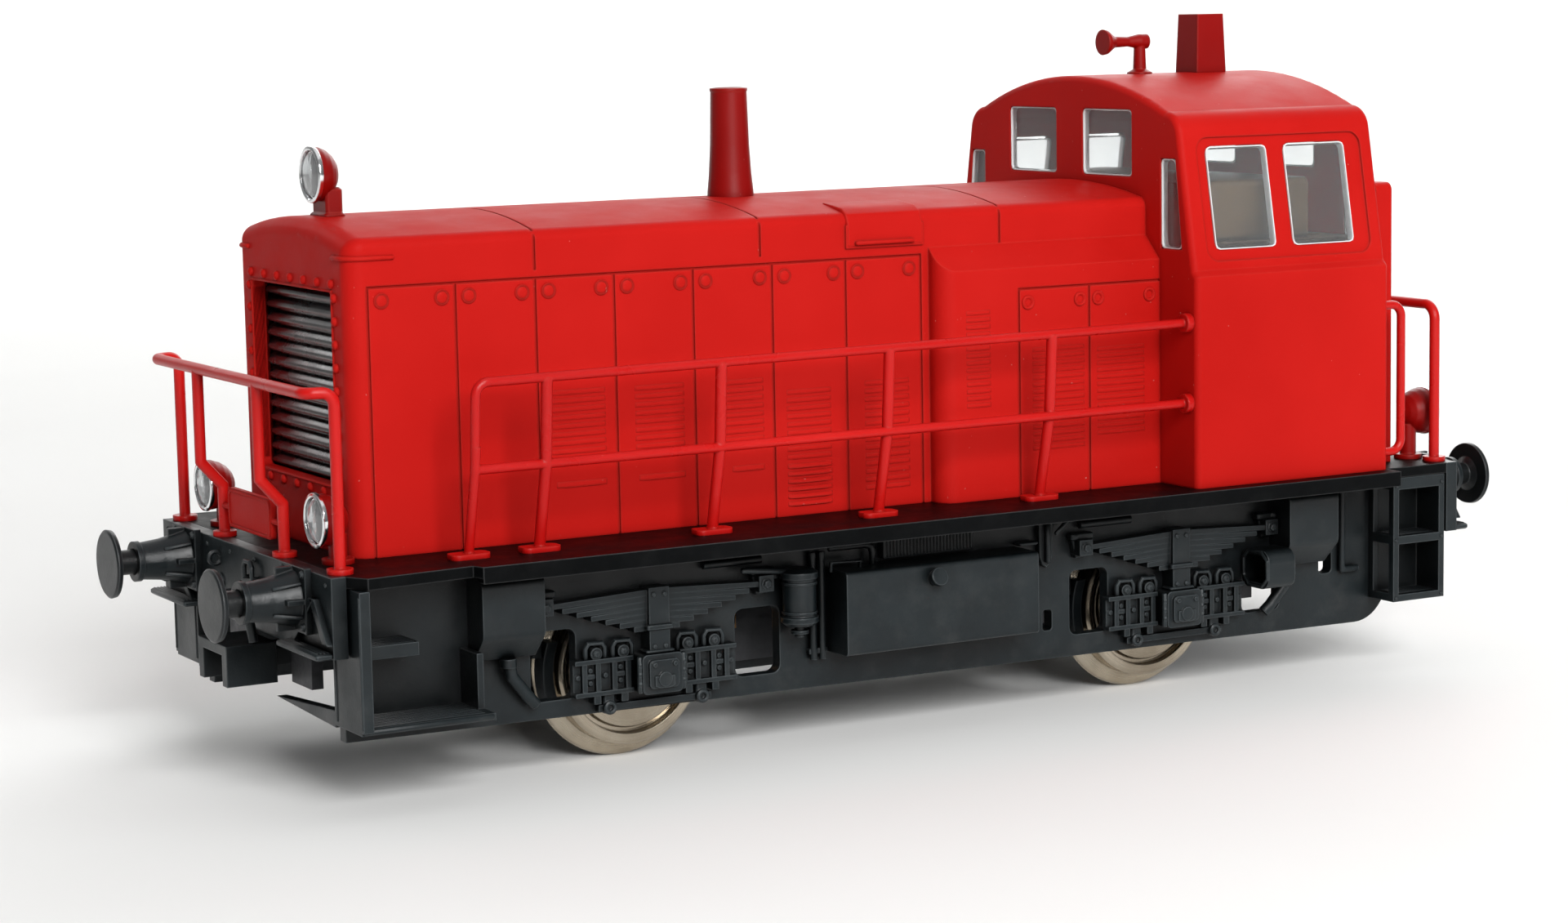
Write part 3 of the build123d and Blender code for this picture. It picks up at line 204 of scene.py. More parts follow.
def lacquer(name, deep, mid, pale, rough, speck, shine=0.045):
    """Matt-satin coloured plastic with a faint orange peel, tone drift, dust specks, painted shade
    in its hollows and a painted highlight along its edges.
    """
    n = Nodes(name, {"IOR": 1.46, "Specular IOR Level": shine})
    drift = n.noise(38, 4)
    body = n.ramp(drift, [(0.3, deep), (0.5, mid), (0.72, pale)])
    grain = n.noise(5200, 2, 0.6)
    flecks = n.map(n.noise(3200, 1, 0.3), 0, speck, 0.80, 0.84)
    dusted = n.mix(flecks, body, RED_DUST)
    # painted highlight: sharp edges turn a paler orange-red
    dusted_lit_edges = n.mix(n.edges(0.00018, 0.22), dusted, RED_EDGE_HIGHLIGHT)
    # painted shade: recesses and corners darken towards a dark red
    n.set("Base Color", n.mix(n.painted_hollow_shade(0.0007, 0.7), tuple(c * 0.3 for c in deep), dusted_lit_edges))
    n.set("Roughness", n.map(n.noise(300, 3), rough - 0.05, rough + 0.07, 0.3, 0.7))
    peel = n.bump(grain, 0.10, 0.00004, n.soft_edges(0.00022))
    n.set("Normal", n.bump(drift, 0.12, 0.0002, peel))
    return n.mat


def moulding(name, deep, pale, rough, dust, shine=0.30, reach=0.006):
    """Moulded plastic: fine grain, uneven sheen, painted shade in the hollows, a painted highlight
    along edges, pale dust low down.
    """
    n = Nodes(name, {"IOR": 1.48, "Specular IOR Level": shine})
    cloud = n.noise(260, 5, 0.6)
    body = n.ramp(cloud, [(0.32, deep), (0.62, pale)])
    patch = n.map(n.noise(420, 6, 0.65), 0, 1, 0.5, 0.78)
    low_down = n.map(n.axes()["Z"], 1.0, 0.0, 0.0, DUST_TOP)
    amount = n.map(n.maths("MULTIPLY", patch, low_down), 0, dust)
    dusted = n.mix(amount, body, GREY_DUST)
    # painted highlight: sharp edges turn a much paler grey
    dusted_lit_edges = n.mix(n.edges(0.00013, 0.85), dusted, tuple(0.06 + c * 3 for c in pale))
    # painted shade: recesses and corners darken almost to black
    n.set("Base Color", n.mix(n.painted_hollow_shade(reach, 0.08), tuple(c * 0.1 for c in deep), dusted_lit_edges))
    n.set("Roughness", n.map(cloud, rough - 0.08, rough + 0.12, 0.3, 0.7))
    grain = n.bump(n.noise(6500, 2, 0.6), 0.16, 0.00005, n.soft_edges(0.00016))
    n.set("Normal", n.bump(cloud, 0.10, 0.00025, grain))
    return n.mat


def metal(name, deep, pale, rough, stretch, scale=900):
    """Worked metal: tone drift with fine tool marks, which may be drawn out into lines."""
    n = Nodes(name, {"Metallic": 1.0})
    lines = n.noise(scale, 3, 0.6, stretch)
    cloud = n.noise(180, 4)
    n.set("Base Color", n.ramp(cloud, [(0.3, deep), (0.7, pale)]))
    n.set("Roughness", n.map(lines, rough - 0.07, rough + 0.12, 0.3, 0.7))
    n.set("Normal", n.bump(lines, 0.12, 0.00003, n.soft_edges(0.0001)))
    return n.mat


def turned_metal(name, deep, pale, rough, centres):
    """Lathe-turned metal: fine rings about the nearer of two axles."""
    n = Nodes(name, {"Metallic": 1.0})
    axes = n.axes()
    radii = []
    for x, z in centres:
        join = n.tree.nodes.new("ShaderNodeCombineXYZ")
        n.link(n.maths("SUBTRACT", axes["X"], x), join.inputs[0])
        n.link(n.maths("SUBTRACT", axes["Z"], z), join.inputs[2])
        length = n.tree.nodes.new("ShaderNodeVectorMath")
        length.operation = "LENGTH"
        n.link(join.outputs[0], length.inputs[0])
        radii.append(length.outputs["Value"])
    rings = n.tree.nodes.new("ShaderNodeTexNoise")
    rings.noise_dimensions = "1D"
    rings.inputs["Scale"].default_value = 9000
    rings.inputs["Detail"].default_value = 2
    n.link(n.maths("MINIMUM", *radii), rings.inputs["W"])
    cloud = n.noise(240, 4)
    n.set("Base Color", n.ramp(cloud, [(0.3, deep), (0.7, pale)]))
    n.set("Roughness", n.map(rings.outputs[0], rough - 0.08, rough + 0.12, 0.3, 0.7))
    n.set("Normal", n.bump(rings.outputs[0], 0.14, 0.00004, n.soft_edges(0.00012)))
    return n.mat


def clear(name, tint, rough, ripple, through, waves=0.08):
    """Clear moulded plastic with faint flow ripples."""
    n = Nodes(name, {"Transmission Weight": through, "IOR": 1.45})
    flow = n.noise(ripple, 2)
    n.set("Base Color", n.ramp(flow, [(0.2, tint), (0.8, (0.97, 0.98, 0.98))]))
    n.set("Roughness", n.map(flow, rough, rough + 0.03, 0.3, 0.7))
    n.set("Normal", n.bump(flow, waves, 0.0001))
    return n.mat


EVEN = (1, 1, 1)                 # tool marks that are alike every way
LINED, FINE_LINED = (0.1, 1, 1), (0.05, 1, 1)    # marks drawn out 10 and 20 times along X
AXLE_LIFT = 0.002                # in metres: the rail above the origin, and an axle's radius
CENTRES = [(x * MM, span("front_axle")[0].z * MM + AXLE_LIFT) for x in AXLES]

RED = lacquer(
    "shell_red", (0.375, 0.0065, 0.0048), (0.42, 0.0085, 0.0064), (0.46, 0.0115, 0.0088),
    rough=0.46, speck=0.3,
)
DEEP_RED = lacquer(
    "fitting_red", (0.17, 0.0015, 0.001), (0.215, 0.0020, 0.0015), (0.26, 0.003, 0.002),
    rough=0.36, speck=0.15, shine=0.20,
)
RAIL_RED = lacquer(
    "rail_red", (0.38, 0.0035, 0.0030), (0.43, 0.0050, 0.0040), (0.48, 0.008, 0.006),
    rough=0.30, speck=0.2, shine=0.26,
)
BLACK = moulding(
    "frame_black", (0.0055, 0.0085, 0.0100), (0.0090, 0.0135, 0.0155), rough=0.36, dust=0.10,
)
# painted shade: a darker copy of the frame black for the running board's top
DECK_SHADED_BLACK = moulding(
    "deck_shaded_black", (0.0015, 0.0018, 0.0020), (0.0028, 0.0032, 0.0035),
    rough=0.42, dust=0.05, shine=0.05,
)
GRILLE = moulding(
    "grille_black", (0.004, 0.0045, 0.005), (0.009, 0.010, 0.011),
    rough=0.24, dust=0.0, shine=0.8, reach=0.001,
)
BUFFER = moulding(
    "buffer_metal", (0.0050, 0.0062, 0.0070), (0.0090, 0.0110, 0.0120), rough=0.32, dust=0.1,
)
GEAR = moulding(
    "gear_plastic", (0.50, 0.50, 0.46), (0.64, 0.63, 0.58), rough=0.42, dust=0.3, reach=0.0008,
)
BOARD = moulding(
    "board_green", (0.008, 0.07, 0.025), (0.02, 0.12, 0.05),
    rough=0.3, dust=0.1, shine=0.4, reach=0.0008,
)
# painted shade: the cab interior's tan is set to its shaded look, darker than the tan itself
TAN_SHADED = moulding(
    "interior_tan", (0.075, 0.045, 0.023), (0.13, 0.082, 0.045),
    rough=0.55, dust=0.1, shine=0.2, reach=0.0008,
)
CAST = metal("cast_frame", (0.055, 0.056, 0.06), (0.10, 0.10, 0.105), 0.5, EVEN, 1500)
STEEL = metal("plain_steel", (0.42, 0.42, 0.43), (0.60, 0.60, 0.61), 0.28, LINED)
MOTOR = metal("motor_steel", (0.34, 0.34, 0.35), (0.46, 0.46, 0.47), 0.32, LINED)
NICKEL = turned_metal("wheel_nickel", (0.34, 0.285, 0.215), (0.56, 0.49, 0.39), 0.20, CENTRES)
BRASS = metal("turned_brass", (0.52, 0.36, 0.12), (0.70, 0.52, 0.22), 0.28, FINE_LINED)
BRONZE = metal("bearing_bronze", (0.40, 0.22, 0.10), (0.55, 0.33, 0.16), 0.42, EVEN, 2500)
COPPER = metal("contact_bronze", (0.55, 0.30, 0.13), (0.68, 0.42, 0.20), 0.25, LINED)
CHROME = metal("lamp_chrome", (0.72, 0.73, 0.74), (0.86, 0.86, 0.87), 0.12, EVEN, 1200)
GLAZING = clear("clear_glazing", (0.90, 0.93, 0.94), rough=0.02, ripple=160, through=0.95)
LENS = clear("lamp_lens", (0.88, 0.91, 0.92), rough=0.03, ripple=1500, through=0.88, waves=0.4)
# painted highlight: a mostly opaque near-white rim stands for the glints on the window edges
RIM_GLINT_WHITE = clear("rim_glint_white", (0.93, 0.95, 0.96), rough=0.06, ripple=900, through=0.35)

FINISH = {
    "shell_red": RED, "plate_red": RED, "fitting_red": DEEP_RED, "rail_red": RAIL_RED,
    "frame_black": BLACK, "keeper_plastic": BLACK, "coupler_black": BLACK,
    "grille_black": GRILLE, "buffer_metal": BUFFER, "cast_frame": CAST, "plain_steel": STEEL,
    "motor_steel": MOTOR, "wheel_nickel": NICKEL, "turned_brass": BRASS,
    "bearing_bronze": BRONZE, "contact_bronze": COPPER, "gear_plastic": GEAR,
    "board_green": BOARD, "clear_glazing": GLAZING, "lamp_lens": LENS, "interior_tan": TAN_SHADED,
}
SLOT_OF = {part["node"]: part["material_slot"] for part in frame["record"]["subparts"]}
for node, obj in frame["nodes"].items():
    # the running board takes the darker black, a painted shade
    finish = DECK_SHADED_BLACK if node == "running_board" else FINISH[SLOT_OF[node]]
    obj.data.materials.clear()
    obj.data.materials.append(finish)


# ---------------------------------------------------------------- mesh helpers (all in mm)
def at(x, y, z):
    """A point in metres from mm, with its height counted from the rail top."""
    return Vector((x * MM, y * MM, (z + RAIL) * MM))


class Piece:
    """Collects mesh parts in mm and turns them into one object that rides on a body."""

    def __init__(self, name, material, slot, body="chassis"):
        self.name, self.material, self.slot, self.body = name, material, slot, body
        self.bm = bmesh.new()

    def rows(self, rings):
        """Rings of points as rings of vertices."""
        return [[self.bm.verts.new(at(*point)) for point in ring] for ring in rings]

    def band(self, low, high):
        """Quads between two rings of vertices."""
        for i in range(len(low)):
            j = (i + 1) % len(low)
            self.bm.faces.new((low[i], low[j], high[j], high[i]))

    def skin(self, rings):
        """Joins rings of points with quads and closes the two ends."""
        rows = self.rows(rings)
        for low, high in zip(rows, rows[1:]):
            self.band(low, high)
        self.bm.faces.new(list(reversed(rows[0])))
        self.bm.faces.new(rows[-1])

    def hoop(self, rings):
        """Joins rings of points into a closed frame with an open middle."""
        rows = self.rows(rings)
        for low, high in zip(rows, rows[1:] + rows[:1]):
            self.band(low, high)

    def circles(self, centre, axis, outline, count):
        """Rings of points about an axis; the outline's points are (distance along it, radius)."""
        way = Vector(axis).normalized()
        side = way.orthogonal().normalized()
        up = way.cross(side)
        rings = []
        for along, radius in outline:
            middle = Vector(centre) + way * along
            ring = []
            for i in range(count):
                turn = 2 * math.pi * i / count
                ring.append(middle + (side * math.cos(turn) + up * math.sin(turn)) * radius)
            rings.append(ring)
        return rings

    def turned(self, centre, axis, outline, count=20):
        """A turned solid with closed ends."""
        self.skin(self.circles(centre, axis, outline, count))

    def ring(self, centre, axis, profile, count=28):
        """A turned ring with a closed profile."""
        self.hoop(self.circles(centre, axis, profile, count))

    def prism(self, outline, axis, start, end, soft=0.05):
        """A flat outline thickened along X or Y, with its two rims cut back."""
        middle = Vector((sum(p[0] for p in outline), sum(p[1] for p in outline))) / len(outline)
        start, end = sorted((start, end))
        soft = min(soft, (end - start) / 3)
        rings = []
        for place, inset in ((start, soft), (start + soft, 0), (end - soft, 0), (end, soft)):
            ring = []
            for p in outline:
                q = Vector(p)
                q += (middle - q).normalized() * inset
                ring.append((place, q.x, q.y) if axis == "X" else (q.x, place, q.y))
            rings.append(ring)
        self.skin(rings)

    def bolt(self, spot, axis, size=0.28, tall=0.2):
        """A hexagon head on a round washer."""
        self.turned(spot, axis, [(-0.06, size * 1.3), (0.03, size * 1.3), (0.06, size * 1.2)], 16)
        head = [(0.0, size), (tall * 0.8, size), (tall, size * 0.8)]
        self.turned(spot, axis, head, 6)

    def block(self, x0, x1, y0, y1, z0, z1, soft=0.06):
        """A block with its four upright edges and its top and bottom rims cut back."""
        x0, x1 = sorted((x0, x1))
        y0, y1 = sorted((y0, y1))
        z0, z1 = sorted((z0, z1))
        t = min(soft, (x1 - x0) / 2.5, (y1 - y0) / 2.5, (z1 - z0) / 2.5)

        def ring(z, inset):
            a, b, c, d = x0 + inset, x1 - inset, y0 + inset, y1 - inset
            return [
                (a + t, c, z), (b - t, c, z), (b, c + t, z), (b, d - t, z),
                (b - t, d, z), (a + t, d, z), (a, d - t, z), (a, c + t, z),
            ]

        self.skin([ring(z0, t * 0.9), ring(z0 + t, 0), ring(z1 - t, 0), ring(z1, t * 0.9)])

    def bar(self, points, radius, count=12):
        """Round wire through points, mitred at the bends, with domed ends."""
        path = [Vector(p) for p in points]
        first = (path[1] - path[0]).normalized()
        side = first.orthogonal().normalized()
        rings = []
        for i, point in enumerate(path):
            before = (point - path[i - 1]).normalized() if i else first
            after = (path[i + 1] - point).normalized() if i + 1 < len(path) else before
            mean = (before + after).normalized()
            side = (side - mean * side.dot(mean)).normalized()
            up = mean.cross(side)
            ease = 1 / max(0.5, mean.dot(after))
            ends = [(0, 1)]
            if i == 0:
                ends = [(-0.5, 0.45), (-0.25, 0.85), (0, 1)]
            elif i + 1 == len(path):
                ends = [(0, 1), (0.25, 0.85), (0.5, 0.45)]
            for along, size in ends:
                centre = point + mean * along * radius
                ring = []
                for k in range(count):
                    turn = 2 * math.pi * k / count
                    spoke = side * math.cos(turn) * ease + up * math.sin(turn)
                    ring.append(centre + spoke * radius * size)
                rings.append(ring)
        self.skin(rings)

    def done(self, smooth=35):
        """Finishes the mesh, gives it its material and makes it ride."""
        bmesh.ops.recalc_face_normals(self.bm, faces=self.bm.faces)
        mesh = bpy.data.meshes.new(self.name)
        self.bm.to_mesh(mesh)
        self.bm.free()
        obj = bpy.data.objects.new(self.name, mesh)
        bpy.context.scene.collection.objects.link(obj)
        mesh.materials.append(self.material)
        for face in mesh.polygons:
            face.use_smooth = True
        mesh.set_sharp_from_angle(angle=math.radians(smooth))
        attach(obj, self.body)
        return obj


def dome(radius, height):
    """The outline of a shallow rivet or button head."""
    steps = [(0, radius), (height * 0.45, radius * 0.94), (height * 0.8, radius * 0.7)]
    return [(-0.08, radius)] + steps + [(height, radius * 0.3)]


# ---------------------------------------------------------------- the hood's details
PANELS = (39.6, 33.5, 27.8, 22.05, 16.15, 10.08, 4.3, -1.75)     # joints between side panels
PANEL_STUD_Z = 31.0
DOOR_STUDS = (-9.55, -13.95, -15.5, -19.95)
DOOR_STUD_Z = 28.2
GRAB_Z = 33.75                   # height of the grab strip round the nose


def hood_studs():
    """Round fasteners by the panel joints and on the rear doors, each in a shallow ring."""
    studs = Piece("hood_studs", RED, "shell_red")
    for side in SIDES:
        for x in PANELS:
            for offset in (-0.95, 0.95):
                if (x == PANELS[0] and offset > 0) or (x == PANELS[-1] and offset < 0):
                    continue
                face = (x + offset, side * SLIM, PANEL_STUD_Z)
                ring = [(-0.06, 0.53), (0.06, 0.53), (0.11, 0.48), (0.06, 0.43), (0.03, 0.40)]
                head = [(0.10, 0.36), (0.13, 0.28), (0.13, 0.08)]
                studs.turned(face, (0, side, 0), ring + head, 24)
        for x in DOOR_STUDS:
            face = (x, side * WIDE, DOOR_STUD_Z)
            ring = [(-0.06, 0.50), (0.07, 0.50), (0.13, 0.42)]
            cup = [(0.10, 0.32), (-0.02, 0.24), (-0.02, 0.1)]
            studs.turned(face, (0, side, 0), ring + cup, 24)
    studs.done(50)


def louvre(piece, x0, x1, side, face, z, drop, depth):
    """One pressed louvre: a blade that swells out from its top edge to its lower one."""
    y = side * face
    out = side * (face + depth)
    inner = side * (face - 0.05)
    n = 6
    rows = []
    for i in range(n + 1):
        x = x0 + (x1 - x0) * i / n
        ends = 0.25 if i in (0, n) else 1.0
        tip = y + (out - y) * ends
        rows.append([
            (x, inner, z), (x, y, z), (x, (y + tip) / 2, z - drop * 0.45),
            (x, tip, z - drop), (x, inner, z - drop),
        ])
    piece.skin(rows)


def louvre_field(piece, x0, x1, side, face, top, low, pitch, depth):
    """Louvres one above the other, from the top down to a low limit."""
    z = top
    while z > low:
        louvre(piece, x0, x1, side, face, z, pitch * 0.62, depth)
        z -= pitch


def hood_louvres():
    """The pressed louvre fields of the side panels and the rear doors."""
    fields = Piece("hood_louvres", RED, "shell_red")
    for side in SIDES:
        for x0, x1, top, low in (
            (22.9, 27.0, 24.4, 19.6), (17.0, 20.7, 24.3, 19.5), (10.9, 14.6, 24.2, 19.4),
            (5.6, 9.1, 23.2, 18.6), (-0.7, 2.9, 23.4, 15.7),
        ):
            louvre_field(fields, x0, x1, side, SLIM, top, low, 0.56, 0.035)
        for x0, x1 in ((22.9, 26.6), (17.0, 20.5), (10.9, 13.4)):
            louvre(fields, x0, x1, side, SLIM, 18.3, 0.4, 0.07)
        louvre_field(fields, 5.6, 9.1, side, SLIM, 18.1, 15.2, 0.52, 0.15)
        louvre_field(fields, -6.4, -4.4, side, WIDE, 27.9, 20.9, 0.5, 0.04)
        louvre_field(fields, -14.3, -9.9, side, WIDE, 25.0, 17.9, 0.5, 0.025)
        louvre_field(fields, -19.5, -15.4, side, WIDE, 24.7, 18.3, 0.5, 0.025)
    fields.done()


def nose_fittings():
    """Rivets round the radiator opening, a lip inside it and the grab strip."""
    low, high = span("radiator_grille")
    half = high.y - 0.8
    bottom, top = low.z + 0.8, high.z - 0.8
    rivets = Piece("nose_rivets", RED, "shell_red")
    spots = []
    for i in range(7):
        y = -7.15 + i * 2.383
        spots += [(y, top + 0.55), (y, bottom - 0.5)]
    for i in range(9):
        z = bottom + 0.25 + i * (top - bottom - 0.6) / 8
        spots += [(half + 0.52, z), (-half - 0.52, z)]
    for y, z in spots:
        rivets.turned((NOSE, y, z), (1, 0, 0), dome(0.33, 0.26), 16)
    rivets.done(50)

    lip = Piece("grille_lip", RED, "shell_red")
    t = 0.18
    for y0, y1, z0, z1 in (
        (-half - t, -half, bottom - t, top + t), (half, half + t, bottom - t, top + t),
        (-half, half, top, top + t), (-half, half, bottom - t, bottom),
    ):
        lip.block(NOSE - 0.85, NOSE + 0.1, y0, y1, z0, z1)
    lip.done()

    strip = Piece("nose_grab_strip", RED, "shell_red")
    bend = 1.23
    for side in SIDES:
        path = [
            (NOSE - 3.2, side * (SLIM + 0.02), GRAB_Z), (NOSE - 1.3, side * (SLIM + 0.03), GRAB_Z),
        ]
        for i in range(1, 6):
            turn = math.radians(90 * i / 5)
            x = NOSE - 1.2 + bend * math.sin(turn)
            path.append((x, side * (SLIM - 1.2 + bend * math.cos(turn)), GRAB_Z))
        path.append((NOSE + 0.03, side * (SLIM - 2.3), GRAB_Z))
        strip.bar(path, 0.17, 10)
    strip.done()


def shoulder_hatch():
    """The raised hatch that laps over the hood's shoulder, with its handle bar."""
    hatch = Piece("shoulder_hatch", RED, "shell_red")
    x0, x1 = -1.9, 4.25
    rise_by = 0.2
    shoulder = (
        (SLIM, 32.75), (SLIM, 34.3), (SLIM - 0.22, 34.8),
        (SLIM - 0.75, 35.12), (SLIM - 2.4, 35.32), (SLIM - 3.2, 35.4),
    )
    for side in SIDES:
        rows = []
        for x, lift in ((x0, 0.0), (x0 + 0.12, rise_by), (x1 - 0.12, rise_by), (x1, 0.0)):
            outer, inner = [], []
            for y, z in shoulder:
                steep = 1.0 if z < 34.5 else (0.6 if z < 35 else 0.12)
                rise = math.sqrt(max(0, 1 - steep * steep))
                outer.append((x, side * (y + lift * steep), z + lift * rise))
                inner.append((x, side * (y - 0.25 * steep), z - 0.25 * rise))
            rows.append(outer + list(reversed(inner)))
        hatch.skin(rows)
        y = side * (SLIM + 0.34)
        hatch.bar([(x0 + 0.9, y, 32.95), (x1 - 0.7, y, 32.95)], 0.16, 10)
        for x in (x0 + 1.1, x1 - 0.9):
            foot = side * (SLIM + 0.35)
            hatch.block(x - 0.12, x + 0.12, side * SLIM, foot, 32.83, 33.07, 0.03)
    hatch.done()


# ---------------------------------------------------------------- cab glazing and lamps
def pane_rim(rims, corners, inward):
    """A softened rim inside an outline, from just under its surface inwards."""
    start, deep, wide = 0.06, 0.8, 0.10
    corners = [Vector(c) for c in corners]
    middle = sum(corners, Vector()) / len(corners)
    inward = Vector(inward).normalized()
    rings = []
    for depth, inset in ((0, 0.03), (0, wide), (deep, wide + 0.05), (deep, 0.03)):
        ring = []
        for k, corner in enumerate(corners):
            before = (corners[k - 1] - corner).normalized()
            after = (corners[(k + 1) % len(corners)] - corner).normalized()
            bisector = (before + after).normalized()
            if bisector.dot(middle - corner) < 0:
                bisector = -bisector
            base = corner + bisector * inset * 1.4 + inward * (start + depth)
            ring += [base + before * 0.35, base + (before + after) * 0.1, base + after * 0.35]
        rings.append(ring)
    rims.hoop(rings)


def window_mouldings():
    """The rims that frame each pane and run inwards, as moulded glazing does, finished in a pale
    half-clear white as a painted glint.
    """
    rims = Piece("window_rims", RIM_GLINT_WHITE, "clear_glazing")
    low, high = 31.4, 38.7       # sill and head of the side windows
    rear_wall = -38.2
    y_low, y_high = (15.51 - (z - 30.02) * 0.1837 for z in (low, high))
    pane = [(1.7, 36.45), (8.0, 36.45), (8.0, 41.3), (1.7, 41.3)]
    corner_pane = [(11.55, 31.45), (14.1, 31.45), (13.35, 37.9), (11.55, 37.9)]
    for side in SIDES:
        for x0, x1 in ((-28.5, -23.1), (-35.55, -30.0)):
            sill = [(x0, side * y_low, low), (x1, side * y_low, low)]
            head = [(x1, side * y_high, high), (x0, side * y_high, high)]
            pane_rim(rims, sill + head, (0, -side, -0.18))
        for wall, way in ((CAB_FRONT, 1), (rear_wall, -1)):
            for outline in (pane, corner_pane):
                pane_rim(rims, [(wall, side * y, z) for y, z in outline], (-way, 0, 0))
    rims.done(40)


def lamp_fronts():
    """Reflectors, bulbs, domed glasses and rims for five lamps, and the top one's pillar."""
    mirror = Piece("lamp_reflectors", CHROME, "lamp_lens")
    rim = Piece("lamp_rims", CHROME, "lamp_lens")
    top = Piece("top_lamp_glass", LENS, "lamp_lens")
    lower = Piece("lower_lamp_glass", LENS, "lamp_lens")
    sunk = 0.35                  # from a CAD lens's front to the back of the new glass
    low, high = span("top_headlamp_lens")
    lamps = [(top, 1, high.x - sunk, 0, (low.z + high.z) / 2, 1.85)]
    low, high = span("lower_lamp_lenses")
    for side in SIDES:
        lamps.append((lower, 1, high.x - sunk, side * (high.y - 2.85), low.z + 1.45, 1.75))
        lamps.append((lower, -1, low.x + sunk, side * (high.y - 1.45), high.z - 1.45, 1.75))
    for glass, way, face, y, z, size in lamps:
        axis, spot = (way, 0, 0), (face, y, z)
        edge = size - 0.32
        bowl = [
            (-0.5, 0.05), (-0.46, edge * 0.35), (-0.35, edge * 0.62),
            (-0.17, edge * 0.86), (-0.03, edge),
        ]
        back = [(-0.12, edge + 0.04), (-0.47, edge), (-0.6, 0.05)]
        mirror.turned(spot, axis, bowl + back, 40)
        bulb = [(-0.5, 0.3), (-0.38, 0.34), (-0.2, 0.3), (-0.1, 0.2), (-0.06, 0.06)]
        mirror.turned(spot, axis, bulb, 18)
        lens = [
            (0.0, 0.05), (0.0, edge - 0.1), (0.08, edge - 0.1),
            (0.2, edge * 0.72), (0.29, edge * 0.4), (0.32, 0.05),
        ]
        glass.turned(spot, axis, lens, 40)
        profile = [
            (-0.03, edge + 0.05), (0.16, edge + 0.06), (0.22, edge + 0.16),
            (0.16, size + 0.02), (-0.02, size + 0.06), (-0.12, size + 0.01),
        ]
        rim.ring(spot, axis, profile, 40)
    pillar = Piece("lamp_pillar", DEEP_RED, "fitting_red")
    low, high = span("top_headlamp")
    crown = (low.z + high.z) / 2 - 0.2
    pillar.block(low.x + 0.1, low.x + 1.3, -1.25, 1.25, low.z + 0.35, crown, 0.16)
    pillar.block(low.x, low.x + 1.45, -1.4, 1.4, low.z + 0.3, low.z + 0.62, 0.12)
    pillar.done()
    mirror.done(50)
    rim.done(40)
    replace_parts(top.done(40), "top_headlamp_lens")
    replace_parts(lower.done(40), "lower_lamp_lenses")


def plate_rims():
    """A raised border round each blank number plate."""
    low, high = span("number_plates")
    rims = Piece("plate_rims", RED, "plate_red")
    half, corner = 3.85, 0.4

    def border(inset):
        """The plate's outline with round corners."""
        y0, y1 = -half + inset, half - inset
        z0, z1 = low.z + 0.05 + inset, high.z - 0.05 - inset
        path = []
        for y, z, turn in ((y0, z0, 180), (y1, z0, 270), (y1, z1, 0), (y0, z1, 90)):
            cy = y + (corner if y < 0 else -corner)
            cz = z + (corner if z == z0 else -corner)
            for step in range(4):
                angle = math.radians(turn + step * 30)
                path.append((cy + corner * math.cos(angle), cz + corner * math.sin(angle)))
        return path

    outer, inner = border(0.0), border(0.2)
    for way in SIDES:
        rings = []
        for depth, line in ((-0.05, outer), (0.06, outer), (0.06, inner), (-0.05, inner)):
            rings.append([(way * high.x + way * depth, y * 0.985, z) for y, z in line])
        rims.hoop(rings)
    rims.done()


# ---------------------------------------------------------------- ends
BUFFER_Y = 10.06
BUFFER_Z = 12.56
EYE = [(-0.12, 0.3), (0.12, 0.3), (0.16, 0.42), (0.12, 0.55), (-0.12, 0.55), (-0.16, 0.42)]
COLLAR = [(-0.05, 0.36), (0.12, 0.38), (0.16, 0.5), (0.1, 0.62), (-0.05, 0.64)]


def buffer_mount(parts, way, side):
    """Flange bolts, casing ribs, beam struts and a ribbed tread at one buffer."""
    y, z = side * BUFFER_Y, BUFFER_Z
    for dy in (-1.72, 1.72):
        for dz in (-1.68, 1.68):
            parts.bolt((way * (BEAM + 0.45), y + dy, z + dz), (way, 0, 0), 0.22, 0.17)
    for turn in (35, 145, 215, 325):
        lean = math.radians(turn)
        dy, dz = math.cos(lean), math.sin(lean)
        root = (way * (BEAM + 0.5), y + dy * 1.9, z + dz * 1.9)
        tip = (way * (BEAM + 2.2), y + dy * 1.45, z + dz * 1.45)
        parts.bar([root, tip], 0.13, 8)
    for outline in (
        [(12.5, 12.9), (13.3, 12.9), (9.9, 9.7), (9.0, 9.7)],
        [(12.7, 12.9), (13.5, 12.9), (15.5, 10.2), (14.7, 10.2)],
    ):
        flat = [(side * a, b) for a, b in outline]
        parts.prism(flat, "X", way * BEAM, way * (BEAM + 0.42), 0.08)
    parts.block(way * BEAM, way * (BEAM + 1.15), side * 8.6, side * 15.5, 9.32, 9.72, 0.1)
    for rib in range(4):
        x = way * (BEAM + 0.22 + rib * 0.24)
        parts.bar([(x, side * 8.9, 9.74), (x, side * 15.2, 9.74)], 0.06, 6)


